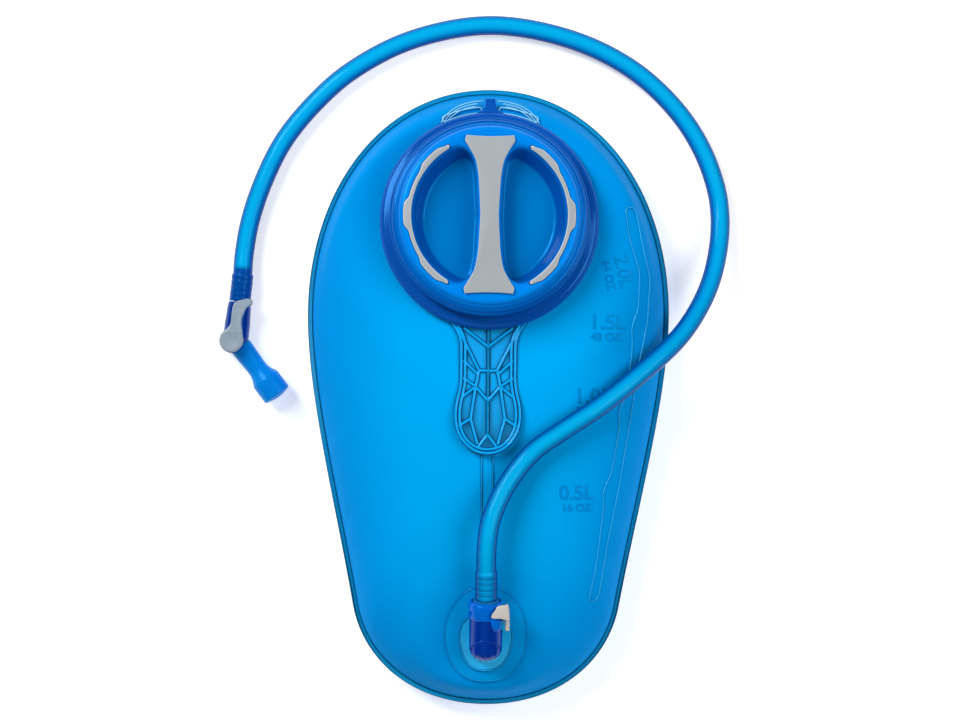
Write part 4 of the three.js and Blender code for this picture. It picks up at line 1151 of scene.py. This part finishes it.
def makeSocket():
    rear, body, bell, mouth = (socket[k] for k in ("rear", "body", "bell", "mouth"))
    axis = socket["axis"]
    dome = []
    for k in range(10):
        angle = math.pi / 2 * k / 9
        dome.append((body * math.sin(angle), rear + socket["dome"] * (1 - math.cos(angle))))
    profile = [
        *dome, (body, 12.3), (body + 0.1, 12.6), (bell - 0.1, 13.1), (bell, 13.4),
        (bell, mouth - 2.2),
        (bell - 0.3, mouth - 1.0), (bell - 0.9, mouth - 0.25), (bell - 1.5, mouth),
        (7.0, mouth - 0.1),
        (6.8, mouth - 0.5), (6.8, 19.8), (5.1, 19.6), (5.1, 4), (0, 4),
    ]
    main = onSocket(profile, "socketMain", 96)
    neck = spunPiece(
        "socketNeck", [(0, -4), (4.7, -4), (4.7, 1.2), (7.4, 2.9), (7.6, 6), (0, 6)], 64
    )
    # the moulded cheek under the thumb button, and the slot across the front for the latch plate
    cheek = blockPiece("cheek", (1.4, 7.6, axis + 2.5), (7.4, 14.2, axis + 8.5), 2.2, 5)
    latchSlot = blockPiece("latchSlot", (-12, 14.3, axis - 7), (12, 17.1, axis + 5.4), 0.2, 1)
    relief = blockPiece("relief", (7.4, 5.2, axis - 7.4), (16, 26, axis + 12), 0.4, 2)
    main = cutAway(main, latchSlot, relief)
    flutes = []
    for x in (-4.9, -2.5, 0, 2.5, 4.9):
        run = []
        for i in range(15):
            along = 1.4 - abs(x) * 0.35 - i * 0.62
            radius = domeRadius(along)
            if radius > abs(x) + 1.2:
                run.append((x, along, axis + math.sqrt(radius**2 - x**2) - 0.12))
        flutes.append(run)
    arch = []
    for i in range(25):
        angle = math.pi * i / 24
        x, along = 7.1 * math.cos(angle), -3.4 + 6.4 * math.sin(angle)
        arch.append((x, along, axis + math.sqrt(domeRadius(along) ** 2 - x**2) - 0.1))
    ribs = beadPiece("socketRibs", [*flutes, arch], 0.48)
    whole = joinPieces("outletSocket", [main, neck, cheek, ribs])
    return settle(whole, outletPlace, 35)


def makeButton():
    axis = socket["axis"]
    x0, x1 = button["headX"], button["outerX"]
    low, high = (-6.6, button["plateFrom"], axis - 6.6), (x0 + 0.5, button["plateTo"], axis + 5)
    latchPlate = blockPiece("latchPlate", low, high, 0.4, 2)
    radius = button["hole"]
    hole = spunPiece("hole", [(0, 0), (radius, 0), (radius, 40), (0, 40)], 48, (0, 1, 0))
    hole.data.transform(shifted(0.75, 0, axis))
    latchPlate = cutAway(latchPlate, hole)
    side = blockPiece("buttonSide", (x0, 14, axis + 3), (x1, 20.4, axis + 9.8), 0.7, 4)
    leg = blockPiece("buttonLeg", (x0, 7.4, axis - 5.6), (x1 + 0.5, 15.4, axis + 6), 0.7, 4)
    # the thumb rest: a wedge that narrows towards the tube's middle
    outline = [
        (x1, 14.6), (x1, 21.0), (x1 - 0.5, 21.5), (x1 - 2.2, 21.8), (5.9, 21.4), (5.0, 20.6),
        (4.4, 19.2), (3.1, 17.4), (2.6, 16.2), (2.7, 15.3), (3.6, 15.0), (6.6, 15.1), (8.2, 14.8),
        (9.4, 14.4),
    ]
    rest = platePiece("thumbRest", outline, axis + 8.9, axis + 10.35, 0.5, 4)
    whole = joinPieces("releaseButton", [latchPlate, side, leg, rest])
    return settle(whole, outletPlace, 35)


def makePlug():
    profile = [
        (1.6, -1.6), (2.5, -1.6), (2.9, -1.1), (2.9, 4.6), (4.8, 5), (4.8, 7.3), (3.3, 7.3),
        (3.3, 9.1),
    ]
    profile += [
        (4.8, 9.1), (4.8, 14.2), (3.8, 14.2), (3.8, 17.2), (4.8, 17.7), (4.8, 19.9), (6.1, 20.0)
    ]
    profile += [(6.45, 20.3), (6.5, 20.9), (6.4, 21.35), (6.0, 21.6), (5.2, 21.6), (2.6, 21.6)]
    for k in range(3):
        profile += [(2.6, 22.2 + 2.8 * k), (3.05, 22.5 + 2.8 * k), (2.6, 24.4 + 2.8 * k)]
    profile += [(2.6, 31), (1.6, 31), (1.6, -1.6)]
    return settle(onSocket(profile, "linkPlug"), outletPlace, 35)


outletFoot, footStep = makeOutletFoot()
footLines = makeFootLines()
footCradle = makeCradle()
outletSocket = makeSocket()
releaseButton = makeButton()
linkPlug = makePlug()
print("outlet made")

# --- mouthpiece, in the bag's frame ---

mouthpiece = {
    "rotor": (-128.6, 27.2, 7.1),
    "elbow": (-127.3, 27.6, 7.1),
    "stemEnd": (-125.4, 46.6, 7.1),
    "biteDirection": -52.5,
    "bodyRadius": 6.7,
    "biteFlatness": 0.85,
}
elbow = Vector(mouthpiece["elbow"])
stemAxis = (Vector(mouthpiece["stemEnd"]) - elbow).normalized()
biteAngle = math.radians(mouthpiece["biteDirection"])
biteAxis = Vector((math.cos(biteAngle), math.sin(biteAngle), 0))


def alongFrom(start, direction):
    # a place whose Y runs along the direction and whose Z stays up
    side = direction.cross(Vector((0, 0, 1)))
    turn = Matrix((side, direction, Vector((0, 0, 1)))).transposed().to_4x4()
    return shifted(*start) @ turn


def makeShutoffBody():
    length = (Vector(mouthpiece["stemEnd"]) - elbow).length
    outer = mouthpiece["bodyRadius"]
    stem = [
        (0, -2), (outer - 0.9, -2), (outer - 0.3, -1.2), (outer - 0.3, 8), (outer - 0.6, 12),
        (6.0, 15.5),
    ]
    stem += [(5.7, length - 1.0), (5.5, length - 0.3), (5.2, length), (2.6, length)]
    for k in range(3):
        at = length + 2.8 * k
        stem += [(2.6, at + 0.6), (3.05, at + 0.9), (2.6, at + 2.8)]
    stem += [(2.6, length + 9.4), (1.9, length + 9.4), (1.9, 0), (0, 0)]
    body = spunPiece("shutoffStem", stem, 64, (0, 1, 0))
    body.data.transform(alongFrom(elbow, stemAxis))
    bite = [
        (0, 0), (5.0, 0), (5.0, 4.2), (4.6, 4.6), (3.6, 4.7), (3.6, 15), (4.1, 15), (3.6, 17),
        (1.9, 17), (1.9, 1), (0, 1),
    ]
    spigot = spunPiece("biteSpigot", bite, 64, (0, 1, 0))
    spigot.data.transform(alongFrom(elbow, biteAxis))
    boss = [(0, -6.9), (5.9, -6.9), (6.3, -6.5), (6.3, 6.5), (5.9, 6.9), (4.9, 6.9), (4.9, 6.6)]
    boss = spunPiece("boss", [*boss, (0, 6.6)], 64)
    boss.data.transform(shifted(*mouthpiece["rotor"]))
    return settle(joinPieces("shutoffBody", [body, spigot, boss]), Matrix.Identity(4), 35)


def makeLever():
    # a round knob with an arm that runs up the body and hooks over its side
    edge = [
        (-4.4, 2.6), (-3.6, 4.5), (-1.9, 6.3), (-0.6, 8.0), (-0.1, 11), (0.2, 14.2), (0.7, 17),
        (1.5, 18.8), (3.2, 19.9), (5.9, 20.6), (7.9, 21.1), (9.3, 20.8), (10.2, 19.6), (10.1, 17.9),
        (8.8, 17.2), (7.2, 16.0), (6.0, 13.4), (5.0, 10.7), (4.9, 7.7), (5.5, 3.8), (5.6, 0.4),
    ]
    arm = [(p.x, p.y) for p in splineThrough([(x, y, 0) for x, y in edge], 4)]
    arm += [(4, -2), (-3, -2)]
    armPiece = platePiece("leverArm", arm, 6.6, 10.1, 1.5, 6)
    # the arm's top slopes away to its right, and the knob is a little dished
    for vertex in armPiece.data.vertices:
        if vertex.co.z > 8.4 * mm:
            vertex.co.z -= 0.34 * max(0, vertex.co.x - 0.12 * vertex.co.y + 0.8 * mm)
    knob = [
        (0, 7.2), (5.4, 7.2), (5.85, 7.6), (6, 8.2), (6, 9.7), (5.8, 10.3), (5.4, 10.6),
        (4.9, 10.62), (3, 10.2), (0, 9.8),
    ]
    knobPiece = spunPiece("leverKnob", knob, 72)
    lever = joinPieces("shutoffLever", [knobPiece, armPiece])
    return settle(lever, shifted(*mouthpiece["rotor"]), 40)


def makeBiteValve():
    # a plain sleeve, a crisp cone and a flat flared head with a slightly domed end
    skin = [
        (0, 36.2), (3, 36.0), (5.6, 35.4), (7.0, 34.9), (7.35, 34.6), (7.42, 34.1), (7.42, 27),
        (7.38, 25.3),
    ]
    skin += [
        (7.2, 24.7), (6.3, 23.0), (5.6, 21.4), (5.15, 19.6), (5.0, 18.4), (5.05, 16), (5.3, 11),
        (5.55, 7),
    ]
    skin += [(5.6, 4.6), (5.4, 4.2), (3.95, 4.1), (3.95, 16), (0, 18)]
    valve = spunPiece("biteValve", skin, 80, (0, 1, 0))
    for vertex in valve.data.vertices:
        vertex.co.z *= mouthpiece["biteFlatness"]
    slit = blockPiece("slit", (-3.4, 30, -0.14), (3.4, 40, 0.14), 0.05, 1)
    valve = cutAway(valve, slit)
    return settle(valve, alongFrom(elbow, biteAxis), 38)


shutoffBody = makeShutoffBody()
shutoffLever = makeLever()
biteValve = makeBiteValve()
spineBeads = makeSpineStrip()
print("mouthpiece made")

# --- materials ---

finish = {
    "filmMiddle": "#00aefa",
    "filmShadedSide": "#0096ea",
    "clearTint": "#3fc0f8",
    "capFloor": "#007ecc",
    "capWall": "#0058b4",
    "capRim": "#008af2",
    "collar": "#0a56b6",
    "grip": "#a9b1b6",
    "blueGlint": "#2ea6ff",  # light thrown back from just under a tinted skin is blue
}


def giveSkin(made, colour, grain, cloud=None):
    # cloud is the scale, detail and share of a mottle over the colour, and grain the scale,
    # detail, strength and depth in metres of a fine relief
    material, tree, coords, shader = made
    if cloud:
        scale, detail, share = cloud
        mottle = addNode(tree, "TexNoise", {"Scale": scale, "Detail": detail, "Vector": coords})
        mottled = {"data_type": "RGBA", "blend_type": "MULTIPLY", 0: share}
        mottled.update({6: colour, 7: mottle.outputs["Fac"]})
        colour = addNode(tree, "Mix", mottled).outputs[2]
    tree.links.new(colour, shader.inputs["Base Color"])
    scale, detail, strength, depth = grain
    fine = addNode(tree, "TexNoise", {"Scale": scale, "Detail": detail, "Vector": coords})
    relief = {"Strength": strength, "Distance": depth, "Height": fine.outputs["Fac"]}
    tree.links.new(addNode(tree, "Bump", relief).outputs["Normal"], shader.inputs["Normal"])
    return material


def makeFilmTpu():
    # TPU film, calendered with a fine grain: satin gloss, with painted shade darkening it from the
    # middle towards the weld where it turns down
    made = startMaterial(
        "TPU film",
        {"Roughness": 0.5, "IOR": 1.5, "Specular IOR Level": 0.015, "Specular Tint": "#1fa8ff"},
    )
    crown = addNode(made[1], "Attribute", {"attribute_name": "crown"})
    # painted shade: the film darkens from its middle to its sides by its share of the way out to
    # the weld
    stops = ((0.5, finish["filmMiddle"]), (0.94, finish["filmShadedSide"]))
    ramp = addNode(made[1], "ValToRGB", {"Fac": crown.outputs["Fac"], "stops": stops})
    return giveSkin(made, ramp.outputs["Color"], (1100, 3, 0.25, 0.0002), (16, 2, 0.14))


def makeWeldTpu():
    # TPU film pressed between knurled heat bars: a fine diagonal hatch along the edge
    material, tree, _, shader = startMaterial(
        "TPU film heat weld",
        {"Roughness": 0.3, "IOR": 1.5, "Specular IOR Level": 0.4, "Specular Tint": "#7fd6ff"},
    )
    edge = addNode(tree, "UVMap", {"uv_map": "edgeMap"}).outputs["UV"]
    turned = addNode(tree, "Mapping", {"Rotation": (0, 0, math.radians(45)), "Vector": edge})
    # one ridge each 0.9 mm, coarser than the real knurl so that it shows
    ridges = {"Scale": 350, "Distortion": 0, "Vector": turned.outputs["Vector"]}
    hatch = addNode(tree, "TexWave", ridges).outputs["Fac"]
    colour = addNode(tree, "Mix", {"data_type": "RGBA", 0: hatch, 6: "#0080b8", 7: "#10b0ea"})
    across = addNode(tree, "SeparateXYZ", {"Vector": edge})
    place = addNode(
        tree, "MapRange", {"From Min": 0, "From Max": 0.0029, "Value": across.outputs["Y"]}
    )
    # painted shade along the pressed inner line and the cut outer edge, as dark lines
    levels = ((0.1, 0.34), (0.24, 1), (0.7, 1), (0.86, 0.3))
    stops = [(at, (level, level, level, 1)) for at, level in levels]
    edgeShade = addNode(tree, "ValToRGB", {"Fac": place.outputs[0], "stops": stops})
    shaded = {"data_type": "RGBA", "blend_type": "MULTIPLY", 0: 1}
    shaded.update({6: colour.outputs[2], 7: edgeShade.outputs["Color"]})
    tree.links.new(addNode(tree, "Mix", shaded).outputs[2], shader.inputs["Base Color"])
    relief = addNode(tree, "Bump", {"Strength": 0.6, "Distance": 0.0004, "Height": hatch})
    tree.links.new(relief.outputs["Normal"], shader.inputs["Normal"])
    return material


def makePlastic(
    name, colour, roughness, ior, mottle=0.08, level=0.5, tint="#ffffff", extra=None,
    grain=(700, 3, 0.08, 0.0001),
):
    settings = {"Roughness": roughness, "Specular IOR Level": level, "Specular Tint": tint}
    if ior:
        settings["IOR"] = ior
    settings.update(extra or {})
    return giveSkin(startMaterial(name, settings), colour, grain, (60, 3, mottle))


def makeRibTpu(name, side, shoulder, top):
    # clear TPU ribs, coloured by the slope of their surface: the bag's blue shows through their
    # tops, and painted shade turns their steep sides into dark lines
    made = startMaterial(
        name,
        {"Roughness": 0.07, "IOR": 1.5, "Specular IOR Level": 0.4, "Specular Tint": "#9adcff"},
    )
    slope = addNode(made[1], "SeparateXYZ", {"Vector": made[2].node.outputs["Normal"]})
    # painted shade by slope: steep sides take the dark colour, flat tops the light one
    stops = ((0.68, side), (0.78, shoulder), (0.9, top))
    ramp = addNode(made[1], "ValToRGB", {"Fac": slope.outputs["Z"], "stops": stops})
    return giveSkin(made, ramp.outputs["Color"], (260, 2, 0.12, 0.0004))


def makeTubeTpu():
    # extruded TPU tube: clear blue, with painted shade darkening its flanks by their slope, deep
    # blue over the stem
    made = startMaterial(
        "extruded TPU tube",
        {
            "Roughness": 0.08, "IOR": 1.45, "Transmission Weight": 0.04,
            "Specular IOR Level": 0.12, "Specular Tint": "#8cdcff",
        },
    )
    slope = addNode(made[1], "SeparateXYZ", {"Vector": made[2].node.outputs["Normal"]})
    # painted shade: the flanks, whose normals point sideways or down, are darker than the top
    stops = ((0.0, "#00307a"), (0.58, "#005aa8"), (0.86, "#009adc"), (0.98, "#04b0ec"))
    wall = addNode(made[1], "ValToRGB", {"Fac": slope.outputs["Z"], "stops": stops})
    colour = wall.outputs["Color"]
    # the stem seen through the wall, and a painted shadow line behind each barb
    for attribute, deep in (("overStem", "#024a9e"), ("barbLine", "#00387c")):
        share = addNode(made[1], "Attribute", {"attribute_name": attribute}).outputs["Fac"]
        mixed = {"data_type": "RGBA", 0: share, 6: colour, 7: deep}
        colour = addNode(made[1], "Mix", mixed).outputs[2]
    return giveSkin(made, colour, (120, 2, 0.04, 0.0004))


def placeInPort(made, port, tilt):
    # where a point lies in the port's own frame
    settings = {
        "vector_type": "TEXTURE",
        "Location": (0, port["y"] * mm, port["height"] * mm),
        "Rotation": (tilt, 0, 0),
        "Vector": made[2],
    }
    inPort = addNode(made[1], "Mapping", settings)
    return addNode(made[1], "SeparateXYZ", {"Vector": inPort.outputs[0]}).outputs


def makeSocketPolypropylene():
    # polypropylene, moulded: the collar and the latch's cheek are thin and lighter than the deep
    # navy body
    made = startMaterial(
        "blue polypropylene",
        {
            "Roughness": 0.2, "IOR": 1.49, "Specular IOR Level": 0.45,
            "Specular Tint": finish["blueGlint"],
        },
    )
    tree = made[1]
    place = placeInPort(made, outlet, math.radians(outlet["tilt"]))
    cheek = {"From Min": 0.0022, "From Max": 0.0042, "To Min": 0, "To Max": 0.0056}
    beside = addNode(tree, "MapRange", {**cheek, "Value": place["X"]})
    raised = addNode(tree, "Math", {"operation": "ADD", 0: place["Y"], 1: beside.outputs[0]})
    collarEdge = {"From Min": 0.0126, "From Max": 0.013, "Value": raised.outputs[0]}
    share = addNode(tree, "MapRange", collarEdge).outputs[0]
    mix = addNode(tree, "Mix", {"data_type": "RGBA", 0: share, 6: "#00309a", 7: "#0066d0"})
    return giveSkin(made, mix.outputs[2], (600, 2, 0.06, 0.0001))


def makeCapPolypropylene():
    # tinted polypropylene, moulded: the thin dish floor is lighter than its thick wall, which also
    # carries painted shade down in the recess, and the rim carries a painted highlight
    made = startMaterial(
        "tinted polypropylene",
        {
            "Roughness": 0.15, "IOR": 1.49, "Specular IOR Level": 0.5,
            "Specular Tint": finish["blueGlint"],
        },
    )
    place = placeInPort(made, fillPort, -math.radians(fillPort["tilt"]))
    rise = {"From Min": 0.009, "From Max": 0.021, "Value": place["Z"]}
    height = addNode(made[1], "MapRange", rise).outputs[0]
    # by height: the floor, then the wall's painted shade, then the rim's painted highlight
    parts = ((0.03, "capFloor"), (0.1, "capWall"), (0.68, "capWall"), (0.95, "capRim"))
    stops = [(at, finish[part]) for at, part in parts]
    ramp = addNode(made[1], "ValToRGB", {"Fac": height, "stops": stops})
    return giveSkin(made, ramp.outputs["Color"], (500, 2, 0.04, 0.0001), (45, 2, 0.1))


def makeGripElastomer():
    # moulded thermoplastic elastomer: matt grey, with a painted highlight along its rounded edges
    # and painted shade on its steepest sides
    made = startMaterial("grey elastomer", {"Roughness": 0.42, "IOR": 1.5})
    slope = addNode(made[1], "SeparateXYZ", {"Vector": made[2].node.outputs["Normal"]})
    # painted by slope: dark on steep sides, a painted highlight on the rounded edges, plain grey on
    # top
    stops = ((0.2, "#7d898f"), (0.6, "#c6ced2"), (0.88, "#dfe5e8"), (0.975, finish["grip"]))
    ramp = addNode(made[1], "ValToRGB", {"Fac": slope.outputs["Z"], "stops": stops})
    return giveSkin(made, ramp.outputs["Color"], (900, 3, 0.25, 0.0001), (38, 2, 0.14))


filmTpu = makeFilmTpu()
weldTpu = makeWeldTpu()
# the ribs' dark sides are painted shade
ribTpu = makeRibTpu("clear TPU ribs", "#003c7a", "#0060a4", "#04a8f0")
# the loop lines' pale tops are a painted highlight, and their sides painted shade
loopTpu = makeRibTpu("clear TPU loop lines", "#0078c8", "#2cb4f4", "#9ce6ff")
# the scale outline's darker sides are painted shade
embossedTpu = makeRibTpu("embossed TPU film", "#0072b6", "#0088cc", "#1cb0f4")
tubeTpu = makeTubeTpu()
socketPolypropylene = makeSocketPolypropylene()
capPolypropylene = makeCapPolypropylene()
gripElastomer = makeGripElastomer()
# moulded plastics: colour, roughness, IOR, mottle, then the strength and tint of the gloss
glint = finish["blueGlint"]
clearTpu = makePlastic(
    "clear TPU moulding", finish["clearTint"], 0.16, 1.5, 0.03, 0.3, glint,
    extra={"Alpha": 0.1}, grain=(90, 3, 0.1, 0.0004),
)
collarPolypropylene = makePlastic(
    "dark blue polypropylene", finish["collar"], 0.12, 1.49, 0.1, 0.5, "#58b8ff"
)
footTpu = makePlastic("blue TPU moulding", "#00a0ee", 0.5, 1.5, 0.1, 0.1, glint)
pressedTpu = makePlastic("pressed TPU film", "#0090d8", 0.35, 1.5, 0.1, 0.3, glint)
# the cup's pale cyan is a painted highlight on clear TPU
cradleTpu = makePlastic("clear TPU cup", "#5ad2ff", 0.1, 1.5, 0.1, 0.6, "#c8efff")
stepTpu = makePlastic("clear TPU step", "#1cbcfa", 0.12, 1.5, 0.1, 0.5, "#9adcff")
navyPolypropylene = makePlastic("navy polypropylene", "#00328e", 0.22, 1.49, 0.1, 0.4, glint)
buttonAcetal = makePlastic("warm grey acetal", "#d6cfc8", 0.42, 1.48)
whiteAcetal = makePlastic("white acetal", "#dcdfe1", 0.4, 1.48)
nitrileRubber = makePlastic("nitrile rubber", "#1b1d1f", 0.6, 1.52, 0.2)
# a metal keeps the shader's own IOR
springSteel = makePlastic(
    "stainless spring wire", "#b9bcc0", 0.28, None, 0.1, extra={"Metallic": 1}
)
leverPolypropylene = makePlastic("grey polypropylene", "#93a3b0", 0.36, 1.49)
biteSilicone = makePlastic(
    "blue silicone", "#0088e4", 0.3, 1.41, tint="#6cc4ff",
    extra={"Subsurface Weight": 0.3, "Subsurface Scale": 0.004},
)
linkPolycarbonate = makePlastic(
    "tinted polycarbonate", "#0f8fe0", 0.12, 1.58, 0.05, extra={"Transmission Weight": 0.45}
)

cadFinishes = (
    (clearTpu, "port_flange exit_flange spine_strip"),
    (navyPolypropylene, "exit_socket link_plug shutoff_body"),
    (nitrileRubber, "cap_o_ring plug_o_ring rotor_o_ring poppet_seal"),
    (springSteel, "latch_spring poppet_spring"),
    (whiteAcetal, "valve_poppet shutoff_rotor"),
    (buttonAcetal, "release_button"),
    (leverPolypropylene, "shutoff_lever"),
    (biteSilicone, "bite_valve"),
    (filmTpu, "front_film back_film"),
    (collarPolypropylene, "fill_collar"),
    (capPolypropylene, "cap_body"),
    (gripElastomer, "cap_bridge_grip cap_arc_grip_left cap_arc_grip_right"),
    (tubeTpu, "drink_tube"),
)
for material, names in cadFinishes:
    for name in names.split():
        nodes[name].data.materials.clear()
        nodes[name].data.materials.append(material)
for film, node in ((frontFilm, "front_film"), (backFilm, "back_film")):
    film.data.materials[0] = filmTpu
    film.data.materials[1] = weldTpu
    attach(film, "reservoir")
    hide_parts(node)
for row in (
    (scaleOutline, "reservoir", "film", embossedTpu),
    (volumeMarks, "reservoir", "film", pressedTpu),
    (fillCollar, "reservoir", "collar_blue", collarPolypropylene, "fill_collar"),
    (capBody, "cap", "cap_blue", capPolypropylene, "cap_body"),
    (arcGrips[0], "cap", "grey_grip", gripElastomer, "cap_arc_grip_left"),
    (arcGrips[1], "cap", "grey_grip", gripElastomer, "cap_arc_grip_right"),
    (bridgeGrip, "cap", "grey_grip", gripElastomer, "cap_bridge_grip"),
    (drinkingTube, "line", "tube_plastic", tubeTpu, "drink_tube"),
    (portFlange, "reservoir", "clear_moulding", clearTpu, "port_flange"),
    (flangeRibs, "reservoir", "clear_moulding", ribTpu),
    (loopLines, "reservoir", "clear_moulding", loopTpu),
    (spineBeads, "reservoir", "clear_moulding", ribTpu, "spine_strip"),
    (outletFoot, "reservoir", "clear_moulding", footTpu, "exit_flange"),
    (footStep, "reservoir", "clear_moulding", stepTpu),
    (footCradle, "reservoir", "clear_moulding", cradleTpu),
    (footLines, "reservoir", "clear_moulding", ribTpu),
    (outletSocket, "reservoir", "navy_plastic", socketPolypropylene, "exit_socket"),
    (releaseButton, "button", "button_plastic", buttonAcetal, "release_button"),
    (linkPlug, "line", "navy_plastic", linkPolycarbonate, "link_plug"),
    (shutoffBody, "line", "navy_plastic", navyPolypropylene, "shutoff_body"),
    (shutoffLever, "shutoff", "lever_plastic", leverPolypropylene, "shutoff_lever"),
    (biteValve, "line", "bite_silicone", biteSilicone, "bite_valve"),
):
    finishPiece(*row)
print("materials given")
